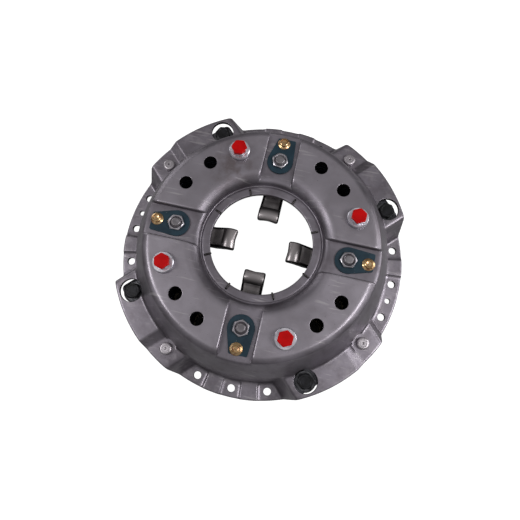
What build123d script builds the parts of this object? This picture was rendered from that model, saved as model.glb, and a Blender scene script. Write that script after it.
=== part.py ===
"""Coil-spring clutch cover assembly with four release levers, in its shipping state.

Millimetres, +Z up. The origin is the centre of the face that bolts to the flywheel.
Lever k points along the direction 90 * k degrees. Each lug of the cover lies half way
between two levers and is described by r, along its own axis, and s, across it.
"""
import os
from math import acos, asin, atan2, cos, degrees, hypot, radians, sin, sqrt

from build123d import *

os.makedirs("parts", exist_ok=True)

# Cover pressing
SHEET = 5.0                  # wall of the cover
FLANGE_R = 212.5             # outside of the flange and of the lugs
WALL_BASE_R = 187.0          # outside of the wall where it meets the top of the flange
SHOULDER_R = 179.5           # outside of the wall where the shoulder starts
SHOULDER_Z = 52.5
CROWN_R = 159.7              # outside of the shoulder where the crown starts
CROWN_Z = 93.4
TOP_R = 152.0                # outer edge of the flat top
TOP_Z = 97.4                 # height of the flat top
NECK_TOP_R = 97.0            # inner edge of the flat top
NECK_R = 87.0                # half way down the neck, where it gets steeper
NECK_Z = 90.5
COLLAR_R = 82.5              # outside of the flat ring round the middle opening
COLLAR_Z = 82.6
OPENING_R = 70.1             # middle opening
BASE_BEND = 6.0              # bend radii of the wall's outside, from the flange to the opening
SHOULDER_BEND = 28.0
CROWN_BEND = 7.0
TOP_BEND = 9.0
NECK_BEND = 20.0
COLLAR_BEND = 3.0
INNER_SHOULDER_BEND = 2.0    # inside of the crown, where the outside bend is too tight to offset

# Flange
BOLT_CIRCLE_R = 200.0
BOLT_HOLE_D = 11.0
BOLT_STEP = 15.0             # degrees between neighbouring flange holes
DOWEL_HOLE_D = 8.0
DOWEL_ANGLES = (-7.5, 172.5)
EMBOSS = 2.5                 # height of the raised zones between the flange pads
EMBOSS_FROM = 4.2            # degrees from a lever direction
EMBOSS_TO = 10.7
EMBOSS_CLEAR = 4.0           # from the foot of the wall to a raised zone

# Lugs, from the high pad to the rivet pad
HIGH_PAD_Z = 50.0
RIVET_PAD_Z = 40.6
RAMP_START_S = -87.8
HIGH_PAD_FROM_S = -70.9
HIGH_PAD_TO_S = 20.3
RIVET_PAD_FROM_S = 33.3
RIVET_PAD_TO_S = 71.9
RAMP_END_S = 87.1
LUG_BEND = 6.0               # outside of the bends over the edges of the pads
LUG_CREASE = 2.0             # bend in the hollow where the ramp meets the rivet pad
LUG_INNER_R = 120.0          # the lug pressings are trimmed inside the wall from here
ACCESS_R = 186.6             # access hole and strap bolt
ACCESS_S = -47.5
ACCESS_HOLE_D = 32.6
RIVET_R = 186.6
RIVET_S = 47.5
RIVET_POCKET_R = 14.8        # round pocket in the wall for the rivet tool

# Springs and the cover holes over them
SPRING_CIRCLE_R = 132.0
SPRING_ANGLES = (25.9, 45.0, 64.1)
SPRING_OD = 36.0
SPRING_WIRE = 5.6
SPRING_TURNS = 6.5
SPRING_GAP = 0.1             # between a coil and each of its seats
COVER_HOLE_D = 18.0
COLLAR_WALL = 2.4            # drawn collar under each spring hole
COLLAR_DEPTH = 6.0

# Recessed lever pads
RECESS_HALF = 21.8
RECESS_Z = 90.5
RECESS_TO_R = 153.8

# Pressure plate
FACE_Z = 12.5                # friction face, drawn back by the transit bolts
PLATE_TOP_Z = 31.0
PLATE_OUT_R = 175.0
PLATE_BORE_R = 110.0
FACE_CHAMFER = 1.5
SEAT_Z = 36.0
SEAT_D = 42.0
SPIGOT_D = 19.0
SPIGOT_RISE = 4.0            # spigot above the heat washer
HEAT_WASHER_OD = 38.0
HEAT_WASHER_ID = 20.0
HEAT_WASHER_T = 2.0
STRAP_LUG_Z = 32.4
STRAP_LUG_HALF = 16.0
STRAP_LUG_BOTTOM_Z = 16.0
STRAP_LUG_SINK = 12.0        # foot of a strap lug inside the plate's rim
EAR_T = 9.0
EAR_R = 11.0
EAR_FOOT_IN = 11.0           # foot of an ear, in from and out from its pin
EAR_FOOT_OUT = 13.0

# Levers and their pivots
FULCRUM_R = 117.8
FULCRUM_Z = 58.0
LEVER_ARM = 22.0             # from the fulcrum pin to the lever pin
LIFT_AT_REST = 1.5           # lever pin above the fulcrum pin at rest
LEVER_WIDTH = 29.4
TIP_WIDTH = 28.4
TIP_R = 36.4
TIP_Z = 75.0                 # crown of the tip
TIP_LENGTH = 15.0
TIP_DROP = 2.6               # from the crown to the ends of the tip pad
TIP_T = 12.0
# Shank of a lever at rest, as r and z from the fulcrum pin: top from the tip out, then the underside back
SHANK_TOP = ((-49.8, 4.6), (-41.8, 4.0), (-13.8, 11.0))
SHANK_UNDER = ((-13.8, -11.0), (-41.8, -8.0), (-55.8, -6.0), (-70.8, 3.0))
EAR_GAP = 0.4                # lever side to plate ear
FULCRUM_PIN_D = 11.0
LEVER_PIN_D = 10.0
RUNNING_GAP = 0.05           # radial, lever on the fulcrum pin
OPEN_GAP = 0.3               # radial, lever on the lever pin, which takes up the arc
FULCRUM_HUB_R = 13.5
END_HUB_R = 10.0
EYE_R = 12.0
EYE_T = 14.0
EYE_GAP = 0.7                # lever slot to eye

# Lever supports, nuts, lock plates and their screws
STUD_D = 14.0
STUD_TOP_Z = 99.0
STUD_EDGE = 1.6              # rounding of the stud's end
STUD_HOLE_D = 15.0
NUT_AF = 20.0
NUT_H = 6.4
NUT_MOUTH_D = 17.0
LOCK_T = 2.5
LOCK_ROUND_R = 18.0
LOCK_OUT_R = 151.8           # straight outer edge
LOCK_WIDE = 15.8             # from the lever's line to the wide corner
LOCK_NARROW = 9.2
LOCK_CORNER = 2.0
LOCK_FLIPPED = (False, True, False, False)
NUT_FIT = 0.15               # lock plate hole round the nut, each side
SCREW_R = 144.6
SCREW_D = 8.0
SCREW_HOLE_GAP = 0.4
SCREW_FLANGE_D = 17.0
SCREW_FLANGE_T = 1.5
SCREW_AF = 12.0
SCREW_HEX_H = 4.2
SCREW_DEPTH = 12.0

# Drive straps, their rivets and bolts
STRAP_WIDTH = 26.0
STRAP_END = 16.0             # strap beyond its holes
STRAP_LEAVES = 4
RIVET_D = 10.0
RIVET_HEAD_D = 17.0
RIVET_HEAD_H = 5.8
RIVET_FOOT_H = 3.0
STRAP_BOLT_D = 14.0
STRAP_BOLT_AF = 20.0
STRAP_BOLT_HEAD_H = 9.0
STRAP_WASHER_D = 28.0
STRAP_WASHER_T = 2.5

# Transit bolts
TRANSIT_D = 12.0
TRANSIT_AF = 19.0
TRANSIT_HEAD_H = 8.0
TRANSIT_WASHER_D = 28.5
TRANSIT_WASHER_T = 5.5
TRANSIT_WASHER_BORE = 13.0
TRANSIT_TIP_Z = 20.0
TRANSIT_TIP_CHAMFER = 1.0
TAPPED_D = 12.3
TAPPED_BOTTOM_Z = 16.0

# Wire springs that steady the levers
WIRE_D = 2.6
WIRE_ANGLE = 24.5            # ends of the wire, each side of a lever
WIRE_HOLE_R = 78.0
WIRE_HOLE_D = 4.4
WIRE_GAP = 0.15              # wire to collar
WIRE_UNDER_R = 86.0
WIRE_UNDER_Z = 46.0
WIRE_BEND = 6.0
WIRE_TIGHT_BEND = 2.0        # bend from the ring down into the hole
WIRE_OVERHANG = 1.2          # end of the wire beyond the edge of the opening
WIRE_UNDER_IN = 4.0          # the wire under a lever, inwards from its ends

HEAD_BEVEL_SLOPE = 0.6       # rise over run of the turned corners of a hexagon
TINY = 0.01                  # sink of one solid into another that it joins
NUT_TURNS = (8, 22, 2, 0)    # how far the hexagons are turned, in degrees
SCREW_TURNS = (20, 0, 35, 10)
STRAP_BOLT_TURNS = (12, 48, 30, 5)
TRANSIT_TURNS = (0, 10, 20, 30)
LEVER_ANGLES = (0, 90, 180, 270)
LUG_ANGLES = (45, 135, 225, 315)

strap_top_z = RIVET_PAD_Z - SHEET
strap_stack = strap_top_z - STRAP_LUG_Z
lever_tilt = asin(LIFT_AT_REST / LEVER_ARM)
lever_pin_r = FULCRUM_R + LEVER_ARM * cos(lever_tilt)
lever_pin_z = FULCRUM_Z + LIFT_AT_REST
spring_bottom_z = SEAT_Z + HEAT_WASHER_T
spring_top_z = TOP_Z - SHEET


def offset_left(points, distance):
    """Moves an open outline to its left side by a distance, corner to corner."""
    lines = []
    for (x0, y0), (x1, y1) in zip(points, points[1:]):
        length = hypot(x1 - x0, y1 - y0)
        nx, ny = -(y1 - y0) / length * distance, (x1 - x0) / length * distance
        lines.append(((x0 + nx, y0 + ny), (x1 + nx, y1 + ny)))
    moved = [lines[0][0]]
    for (a, b), (c, d) in zip(lines, lines[1:]):
        ux, uy = b[0] - a[0], b[1] - a[1]
        vx, vy = d[0] - c[0], d[1] - c[1]
        t = ((c[0] - a[0]) * vy - (c[1] - a[1]) * vx) / (ux * vy - uy * vx)
        moved.append((a[0] + t * ux, a[1] + t * uy))
    moved.append(lines[-1][1])
    return moved


def rounded_face(points, radii, plane, closing):
    """A face bounded by a rounded open outline and straight lines through the closing points."""
    edges = FilletPolyline(*points, radius=radii)
    loop = [points[-1], *closing, points[0]]
    sides = [Line(a, b) for a, b in zip(loop, loop[1:])]
    return plane * make_face([*edges.edges(), *sides])


def drum(radius, z_from, z_to, r=0.0, angle=0.0):
    """An upright cylinder whose axis is at polar place r, angle."""
    place = Pos(r * cos(radians(angle)), r * sin(radians(angle)), (z_from + z_to) / 2)
    return place * Cylinder(radius, z_to - z_from)


def ring(outer, inner, z_from, z_to, r=0.0, angle=0.0):
    return drum(outer, z_from, z_to, r, angle) - drum(inner, z_from - 1, z_to + 1, r, angle)


def hexagon(across_flats, z_from, z_to, r=0.0, angle=0.0, turn=0.0):
    """An upright hexagonal prism, turned about its own axis from the radial direction."""
    sketch = RegularPolygon(across_flats / 2, 6, major_radius=False)
    solid = extrude(sketch, z_to - z_from)
    return Rot(0, 0, angle) * Pos(r, 0, z_from) * Rot(0, 0, turn) * solid


def hex_head(across_flats, z_from, height, r, angle, turn=0.0):
    """A hexagon head with its top corners turned off."""
    solid = hexagon(across_flats, z_from, z_from + height, r, angle, turn)
    bevel = across_flats * (1 / cos(radians(30)) - 1) / 2 + TINY
    blank = Cylinder(across_flats / 2 + bevel, height)
    top_edge = blank.edges().filter_by(GeomType.CIRCLE).sort_by(Axis.Z)[-1]
    blank = chamfer(top_edge, bevel * HEAD_BEVEL_SLOPE, bevel)
    return solid & (Rot(0, 0, angle) * Pos(r, 0, z_from + height / 2) * blank)


def bar(r_from, r_to, s_from, s_to, z_from, z_to, angle):
    """A box given along (r) and across (s) the direction of an angle."""
    centre = Pos((r_from + r_to) / 2, (s_from + s_to) / 2, (z_from + z_to) / 2)
    return Rot(0, 0, angle) * centre * Box(r_to - r_from, s_to - s_from, z_to - z_from)


def rs_place(r, s, angle):
    """Polar place of the point r along and s across the direction of an angle."""
    return hypot(r, s), angle + degrees(atan2(s, r))


def one_solid(shape):
    solids = shape.solids()
    return max(solids, key=lambda solid: solid.volume)


def save(name, *pieces):
    """Writes one node, which holds one solid or a group of separate ones."""
    solids = [solid for piece in pieces for solid in piece.solids()]
    shape = solids[0] if len(solids) == 1 else Compound(children=solids)
    export_step(shape, f"parts/{name}.step")
    print(f"{name}: {len(solids)} solid(s), {sum(s.volume for s in solids) / 1000:.1f} cm3")


WALL = [
    (WALL_BASE_R, SHEET),
    (SHOULDER_R, SHOULDER_Z),
    (CROWN_R, CROWN_Z),
    (TOP_R, TOP_Z),
    (NECK_TOP_R, TOP_Z),
    (NECK_R, NECK_Z),
    (COLLAR_R, COLLAR_Z),
    (OPENING_R, COLLAR_Z),
]
WALL_BENDS = [SHOULDER_BEND, CROWN_BEND, TOP_BEND, NECK_BEND, NECK_BEND, COLLAR_BEND]
LUG_OUTLINE = [
    (RAMP_START_S, 0.0),
    (HIGH_PAD_FROM_S, HIGH_PAD_Z),
    (HIGH_PAD_TO_S, HIGH_PAD_Z),
    (RIVET_PAD_FROM_S, RIVET_PAD_Z),
    (RIVET_PAD_TO_S, RIVET_PAD_Z),
    (RAMP_END_S, 0.0),
]


def dome(inside):
    """The body of revolution inside the cover's outer or inner surface, with the flange outside."""
    if inside:
        points = offset_left(WALL, SHEET)
        radii = [SHOULDER_BEND - SHEET, INNER_SHOULDER_BEND, TOP_BEND - SHEET, NECK_BEND - SHEET,
                 NECK_BEND - SHEET, COLLAR_BEND + SHEET]
        floor, foot_r = -1.0, points[0][0]
    else:
        points = [(FLANGE_R, SHEET), *WALL]
        radii = [BASE_BEND, *WALL_BENDS]
        floor, foot_r = 0.0, FLANGE_R
    closing = [(0.0, points[-1][1]), (0.0, floor), (foot_r, floor)]
    return revolve(rounded_face(points, radii, Plane.XZ, closing), Axis.Z)


def lug(inside, angle):
    """The bent tunnel of one lug, solid, up to its outer or inner surface."""
    points = LUG_OUTLINE
    radii = [LUG_BEND, LUG_BEND, LUG_CREASE, LUG_BEND]
    if inside:
        points = offset_left(LUG_OUTLINE, -SHEET)
        radii = [LUG_BEND - SHEET, LUG_BEND - SHEET, LUG_CREASE + SHEET, LUG_BEND - SHEET]
    face = rounded_face(points, radii, Plane.YZ, [])
    tunnel = extrude(face, FLANGE_R + SHEET - LUG_INNER_R, dir=(1, 0, 0))
    return Rot(0, 0, angle) * Pos(LUG_INNER_R, 0, 0) * tunnel


def emboss_zone(z_from, z_to, start, inner_r, outer_r):
    """One raised zone of the flange: a sector of a ring."""
    points = [(inner_r, start), (outer_r, start), (outer_r, start + EMBOSS_TO - EMBOSS_FROM),
              (inner_r, start + EMBOSS_TO - EMBOSS_FROM)]
    flat = [(r * cos(radians(a)), r * sin(radians(a))) for r, a in points]
    middle = start + (EMBOSS_TO - EMBOSS_FROM) / 2
    far = (outer_r * cos(radians(middle)), outer_r * sin(radians(middle)))
    near = (inner_r * cos(radians(middle)), inner_r * sin(radians(middle)))
    outline = [Line(flat[0], flat[1]), ThreePointArc(flat[1], far, flat[2]),
               Line(flat[2], flat[3]), ThreePointArc(flat[3], near, flat[0])]
    return Pos(0, 0, z_from) * extrude(make_face(outline), z_to - z_from)


def emboss_starts():
    """First angles of the raised zones: both sides at 90 and 270 degrees, one at 0 and 180."""
    starts = [angle + EMBOSS_FROM for angle in LEVER_ANGLES]
    starts += [angle - EMBOSS_TO for angle in (90, 270)]
    return starts


def cover():
    outside = dome(False)
    for start in emboss_starts():
        outside += emboss_zone(TINY, SHEET + EMBOSS, start, SHOULDER_R, FLANGE_R)
    blank = drum(FLANGE_R, 0, TOP_Z)
    for angle in LUG_ANGLES:
        outside += lug(False, angle) & blank
    inside = dome(True)
    for angle in LEVER_ANGLES:
        outside -= bar(COLLAR_R - SHEET, RECESS_TO_R, -RECESS_HALF, RECESS_HALF, RECESS_Z, TOP_Z + 1, angle)
        inside -= bar(COLLAR_R - SHEET, RECESS_TO_R + SHEET, -RECESS_HALF - SHEET, RECESS_HALF + SHEET,
                      RECESS_Z - SHEET, TOP_Z, angle)
    for angle in LUG_ANGLES:
        r, a = rs_place(RIVET_R, RIVET_S, angle)
        outside -= drum(RIVET_POCKET_R, RIVET_PAD_Z, TOP_Z, r, a)
        inside -= drum(RIVET_POCKET_R + SHEET, strap_top_z, TOP_Z, r, a)
    for angle in (spring + lever for spring in SPRING_ANGLES for lever in LEVER_ANGLES):
        inside -= drum(COVER_HOLE_D / 2 + COLLAR_WALL, spring_top_z - COLLAR_DEPTH, TOP_Z,
                       SPRING_CIRCLE_R, angle)
    shell = outside - inside
    for angle in LUG_ANGLES:
        shell -= lug(True, angle)
    for start in emboss_starts():
        shell -= emboss_zone(-1, EMBOSS, start, WALL_BASE_R + EMBOSS_CLEAR - SHEET, FLANGE_R + 1)
    for hole in cover_holes():
        shell -= hole
    return one_solid(shell)


def cover_holes():
    holes = [drum(OPENING_R, 0, TOP_Z)]
    for lever in LEVER_ANGLES:
        for step in (-BOLT_STEP, 0, BOLT_STEP):
            holes.append(drum(BOLT_HOLE_D / 2, -1, SHEET + 1, BOLT_CIRCLE_R, lever + step))
        for spring in SPRING_ANGLES:
            holes.append(drum(COVER_HOLE_D / 2, spring_top_z - COLLAR_DEPTH - 1, TOP_Z + 1,
                              SPRING_CIRCLE_R, lever + spring))
        holes.append(drum(STUD_HOLE_D / 2, RECESS_Z - SHEET - 1, RECESS_Z + 1, FULCRUM_R, lever))
        holes.append(drum(SCREW_D / 2, RECESS_Z - SHEET - 1, RECESS_Z + 1, SCREW_R, lever))
        for side in (-WIRE_ANGLE, WIRE_ANGLE):
            holes.append(drum(WIRE_HOLE_D / 2, COLLAR_Z - 2 * SHEET, COLLAR_Z + SHEET, WIRE_HOLE_R,
                              lever + side))
    for angle in DOWEL_ANGLES:
        holes.append(drum(DOWEL_HOLE_D / 2, -1, SHEET + 1, BOLT_CIRCLE_R, angle))
    for angle in LUG_ANGLES:
        r, a = rs_place(ACCESS_R, ACCESS_S, angle)
        holes.append(drum(ACCESS_HOLE_D / 2, HIGH_PAD_Z - SHEET - 1, TOP_Z, r, a))
        r, a = rs_place(RIVET_R, RIVET_S, angle)
        holes.append(drum(RIVET_D / 2, strap_top_z - 1, RIVET_PAD_Z + 1, r, a))
    return holes


def pressure_plate():
    body = ring(PLATE_OUT_R, PLATE_BORE_R, FACE_Z, PLATE_TOP_Z)
    rims = body.edges().filter_by(GeomType.CIRCLE).group_by(Axis.Z)[0]
    body = chamfer(rims, FACE_CHAMFER)
    for angle in (spring + lever for spring in SPRING_ANGLES for lever in LEVER_ANGLES):
        body += drum(SEAT_D / 2, PLATE_TOP_Z - 1, SEAT_Z, SPRING_CIRCLE_R, angle)
        body += drum(SPIGOT_D / 2, SEAT_Z - 1, spring_bottom_z + SPIGOT_RISE, SPRING_CIRCLE_R, angle)
    body = body & ring(PLATE_OUT_R, PLATE_BORE_R, FACE_Z, TOP_Z)
    for angle in LUG_ANGLES:
        body += strap_lug(angle)
    for angle in LEVER_ANGLES:
        for side in (-1, 1):
            body += ear(angle, side)
        body -= drum(TAPPED_D / 2, TAPPED_BOTTOM_Z, TOP_Z, SPRING_CIRCLE_R, angle + SPRING_ANGLES[0])
    for angle in LUG_ANGLES:
        r, a = rs_place(ACCESS_R, ACCESS_S, angle)
        body -= drum(STRAP_BOLT_D / 2, STRAP_LUG_BOTTOM_Z - 1, STRAP_LUG_Z + 1, r, a)
    return one_solid(body)


def strap_lug(angle):
    """A block with a round end, cast on the rim of the plate under each access hole."""
    foot_r = sqrt(PLATE_OUT_R ** 2 - (ACCESS_S - STRAP_LUG_HALF) ** 2) - STRAP_LUG_SINK
    block = bar(foot_r, ACCESS_R, ACCESS_S - STRAP_LUG_HALF, ACCESS_S + STRAP_LUG_HALF,
                STRAP_LUG_BOTTOM_Z, STRAP_LUG_Z, angle)
    r, a = rs_place(ACCESS_R, ACCESS_S, angle)
    return block + drum(STRAP_LUG_HALF, STRAP_LUG_BOTTOM_Z, STRAP_LUG_Z, r, a)


def ear(angle, side):
    """One of the two ears of the plate that hold a lever pin."""
    foot_z = PLATE_TOP_Z - 1
    profile = make_face([
        Line((lever_pin_r - EAR_FOOT_IN, foot_z), (lever_pin_r - EAR_R, lever_pin_z)),
        ThreePointArc((lever_pin_r - EAR_R, lever_pin_z), (lever_pin_r, lever_pin_z + EAR_R),
                      (lever_pin_r + EAR_R, lever_pin_z)),
        Line((lever_pin_r + EAR_R, lever_pin_z), (lever_pin_r + EAR_FOOT_OUT, foot_z)),
        Line((lever_pin_r + EAR_FOOT_OUT, foot_z), (lever_pin_r - EAR_FOOT_IN, foot_z)),
    ])
    inner = LEVER_WIDTH / 2 + EAR_GAP
    blank = side_extrude(profile, inner, inner + EAR_T, side)
    pin_hole = cross_pin(lever_pin_r, lever_pin_z, LEVER_PIN_D, 2 * (inner + EAR_T + 1))
    return Rot(0, 0, angle) * (blank - pin_hole)


def side_extrude(profile, s_from, s_to, side=1):
    """A profile in r and z, given thickness across the lever's line on one side of it."""
    solid = extrude(Plane.XZ * profile, s_to - s_from, dir=(0, 1, 0))
    if side > 0:
        return Pos(0, s_from, 0) * solid
    return Pos(0, -s_to, 0) * solid


def cross_pin(r, z, diameter, length):
    return Pos(r, 0, z) * Rot(90, 0, 0) * Cylinder(diameter / 2, length)


def release_lever(angle):
    """A cranked forging: crowned tip, shank that dips under the collar, forked round its eye bolt."""
    front = (TIP_R, TIP_Z - TIP_DROP)
    crease = (TIP_R + TIP_LENGTH, TIP_Z - TIP_DROP)
    top_tip = ThreePointArc(front, (TIP_R + TIP_LENGTH / 2, TIP_Z), crease)
    outline = [
        crease,
        *[(FULCRUM_R + r, FULCRUM_Z + z) for r, z in SHANK_TOP],
        (FULCRUM_R, FULCRUM_Z + FULCRUM_HUB_R),
        (lever_pin_r, lever_pin_z + END_HUB_R),
        (lever_pin_r, lever_pin_z - END_HUB_R),
        (FULCRUM_R, FULCRUM_Z - FULCRUM_HUB_R),
        *[(FULCRUM_R + r, FULCRUM_Z + z) for r, z in SHANK_UNDER],
        (TIP_R, TIP_Z - TIP_T),
        front,
    ]
    sides = [Line(a, b) for a, b in zip(outline, outline[1:])]
    half = LEVER_WIDTH / 2
    body = side_extrude(make_face([top_tip, *sides]), -half, half)
    for r, z, hub in ((FULCRUM_R, FULCRUM_Z, FULCRUM_HUB_R), (lever_pin_r, lever_pin_z, END_HUB_R)):
        body += cross_pin(r, z, 2 * hub, LEVER_WIDTH)
    tip_cut = bar(TIP_R - 1, TIP_R + TIP_LENGTH, TIP_WIDTH / 2, half + 1, 0, TOP_Z, 0)
    body -= tip_cut
    body -= mirror(tip_cut, Plane.XZ)
    body -= bar(FULCRUM_R - EYE_R - EYE_GAP, FULCRUM_R + EYE_R + EYE_GAP, -EYE_T / 2 - EYE_GAP,
                EYE_T / 2 + EYE_GAP, 0, TOP_Z, 0)
    body -= cross_pin(FULCRUM_R, FULCRUM_Z, FULCRUM_PIN_D + 2 * RUNNING_GAP, 2 * LEVER_WIDTH)
    body -= cross_pin(lever_pin_r, lever_pin_z, LEVER_PIN_D + 2 * OPEN_GAP, 2 * LEVER_WIDTH)
    return Rot(0, 0, angle) * one_solid(body)


def lever_support(angle):
    """An eye bolt: the eye carries the fulcrum pin, the stud goes up through the cover."""
    eye = cross_pin(FULCRUM_R, FULCRUM_Z, 2 * EYE_R, EYE_T)
    stud = drum(STUD_D / 2, FULCRUM_Z, STUD_TOP_Z, FULCRUM_R)
    top = stud.edges().filter_by(GeomType.CIRCLE).sort_by(Axis.Z)[-1]
    stud = fillet(top, STUD_EDGE)
    hole = cross_pin(FULCRUM_R, FULCRUM_Z, FULCRUM_PIN_D, 2 * EYE_T)
    return Rot(0, 0, angle) * one_solid(eye + stud - hole)


def adjusting_nut(angle, turn):
    nut = hex_head(NUT_AF, RECESS_Z, NUT_H, FULCRUM_R, angle, turn)
    nut -= drum(STUD_D / 2, RECESS_Z - 1, RECESS_Z + NUT_H + 1, FULCRUM_R, angle)
    mouth_depth = (NUT_MOUTH_D - STUD_D) / 2
    mouth = Rot(0, 0, angle) * Pos(FULCRUM_R, 0, RECESS_Z + NUT_H - mouth_depth / 2)
    return one_solid(nut - mouth * Cone(STUD_D / 2, NUT_MOUTH_D / 2, mouth_depth))


def lock_plate(angle, flipped, turn):
    """A tab with a round end over the nut and a skew outer end under the screw."""
    wide, narrow = (-LOCK_WIDE, LOCK_NARROW) if flipped else (LOCK_WIDE, -LOCK_NARROW)
    corners = [(LOCK_OUT_R, wide), (LOCK_OUT_R, narrow)]
    reach = LOCK_OUT_R - FULCRUM_R
    touch = []
    for s in (wide, narrow):
        distance = hypot(reach, s)
        lean = atan2(s, reach) + (1 if s > 0 else -1) * acos(LOCK_ROUND_R / distance)
        touch.append((FULCRUM_R + LOCK_ROUND_R * cos(lean), LOCK_ROUND_R * sin(lean)))
    inner = (FULCRUM_R - LOCK_ROUND_R, 0.0)
    outline = make_face([Line(touch[0], corners[0]), Line(corners[0], corners[1]),
                         Line(corners[1], touch[1]), ThreePointArc(touch[1], inner, touch[0])])
    plate = Rot(0, 0, angle) * Pos(0, 0, RECESS_Z) * extrude(outline, LOCK_T)
    sharp = plate.edges().filter_by(Axis.Z).sort_by_distance((0, 0, RECESS_Z))[-2:]
    plate = fillet(sharp, LOCK_CORNER)
    nut_hole = hexagon(NUT_AF + 2 * NUT_FIT, RECESS_Z - 1, RECESS_Z + LOCK_T + 1, FULCRUM_R, angle, turn)
    plate -= nut_hole
    return one_solid(plate - drum(SCREW_D / 2 + SCREW_HOLE_GAP, RECESS_Z - 1, RECESS_Z + LOCK_T + 1,
                                  SCREW_R, angle))


def lock_plate_screw(angle, turn):
    seat_z = RECESS_Z + LOCK_T
    screw = drum(SCREW_D / 2, seat_z - SCREW_DEPTH, seat_z + 1, SCREW_R, angle)
    screw += drum(SCREW_FLANGE_D / 2, seat_z, seat_z + SCREW_FLANGE_T, SCREW_R, angle)
    hexagon_z = seat_z + SCREW_FLANGE_T
    return one_solid(screw + hex_head(SCREW_AF, hexagon_z - TINY, SCREW_HEX_H, SCREW_R, angle, turn))


def heat_washer(angle):
    return ring(HEAT_WASHER_OD / 2, HEAT_WASHER_ID / 2, SEAT_Z, spring_bottom_z, SPRING_CIRCLE_R, angle)


def pressure_spring(angle):
    """A round-wire coil that stands on its heat washer and reaches the underside of the cover."""
    rise = spring_top_z - spring_bottom_z - SPRING_WIRE - 2 * SPRING_GAP
    coil_r = (SPRING_OD - SPRING_WIRE) / 2
    path = Helix(rise / SPRING_TURNS, rise, coil_r)
    section = Plane(path @ 0, z_dir=path % 0) * Circle(SPRING_WIRE / 2)
    coil = sweep(section, path, is_frenet=True)
    start_z = spring_bottom_z + SPRING_WIRE / 2 + SPRING_GAP
    return Rot(0, 0, angle) * Pos(SPRING_CIRCLE_R, 0, start_z) * coil


def drive_strap(angle):
    """A pack of flat leaves between a rivet of the cover and a bolt of the plate."""
    leaf_t = strap_stack / STRAP_LEAVES
    half = STRAP_WIDTH / 2
    leaves = []
    for index in range(STRAP_LEAVES):
        z = STRAP_LUG_Z + index * leaf_t
        leaf = bar(ACCESS_R - half, ACCESS_R + half, ACCESS_S - STRAP_END, RIVET_S + STRAP_END,
                   z, z + leaf_t, angle)
        leaf = fillet(leaf.edges().filter_by(Axis.Z), half / 2)
        for r, s, hole in ((ACCESS_R, ACCESS_S, STRAP_BOLT_D), (RIVET_R, RIVET_S, RIVET_D)):
            place, turn = rs_place(r, s, angle)
            leaf -= drum(hole / 2, z - 1, z + leaf_t + 1, place, turn)
        leaves.append(one_solid(leaf))
    return leaves


def strap_rivet(angle):
    r, a = rs_place(RIVET_R, RIVET_S, angle)
    shank = drum(RIVET_D / 2, STRAP_LUG_Z - TINY, RIVET_PAD_Z + TINY, r, a)
    head = drum(RIVET_HEAD_D / 2, RIVET_PAD_Z, RIVET_PAD_Z + RIVET_HEAD_H, r, a)
    crown = head.edges().filter_by(GeomType.CIRCLE).sort_by(Axis.Z)[-1]
    head = fillet(crown, RIVET_HEAD_H / 2)
    foot = drum(RIVET_HEAD_D / 2, STRAP_LUG_Z - RIVET_FOOT_H, STRAP_LUG_Z, r, a)
    return one_solid(shank + head + foot)


def strap_washer(angle):
    r, a = rs_place(ACCESS_R, ACCESS_S, angle)
    return ring(STRAP_WASHER_D / 2, STRAP_BOLT_D / 2, strap_top_z, strap_top_z + STRAP_WASHER_T, r, a)


def strap_bolt(angle, turn):
    r, a = rs_place(ACCESS_R, ACCESS_S, angle)
    seat_z = strap_top_z + STRAP_WASHER_T
    shank = drum(STRAP_BOLT_D / 2, STRAP_LUG_BOTTOM_Z, seat_z + 1, r, a)
    return one_solid(shank + hex_head(STRAP_BOLT_AF, seat_z, STRAP_BOLT_HEAD_H, r, a, turn))


def transit_bolt(angle, turn):
    seat_z = TOP_Z + TRANSIT_WASHER_T
    shank = drum(TRANSIT_D / 2, TRANSIT_TIP_Z, seat_z + 1, SPRING_CIRCLE_R, angle)
    tip = shank.edges().filter_by(GeomType.CIRCLE).sort_by(Axis.Z)[0]
    shank = chamfer(tip, TRANSIT_TIP_CHAMFER)
    return one_solid(shank + hex_head(TRANSIT_AF, seat_z, TRANSIT_HEAD_H, SPRING_CIRCLE_R, angle, turn))


def transit_washer(angle):
    return ring(TRANSIT_WASHER_D / 2, TRANSIT_WASHER_BORE / 2, TOP_Z, TOP_Z + TRANSIT_WASHER_T,
                SPRING_CIRCLE_R, angle)


def lever_return_spring(angle):
    """A wire that lies on the ring, drops through its hole and passes under the lever."""
    over_z = COLLAR_Z + WIRE_D / 2 + WIRE_GAP
    half = []
    for r, z in ((OPENING_R - WIRE_OVERHANG, over_z), (WIRE_HOLE_R, over_z),
                 (WIRE_HOLE_R, COLLAR_Z - 2 * SHEET)):
        half.append((r * cos(radians(WIRE_ANGLE)), r * sin(radians(WIRE_ANGLE)), z))
    spread = WIRE_HOLE_R * sin(radians(WIRE_ANGLE))
    half.append((WIRE_UNDER_R, spread - WIRE_UNDER_IN, WIRE_UNDER_Z))
    points = half + [(x, -y, z) for x, y, z in reversed(half)]
    bends = [WIRE_TIGHT_BEND] + [WIRE_BEND] * 4 + [WIRE_TIGHT_BEND]
    path = FilletPolyline(*points, radius=bends)
    section = Plane(path @ 0, z_dir=path % 0) * Circle(WIRE_D / 2)
    return Rot(0, 0, angle) * sweep(section, path)


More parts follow.
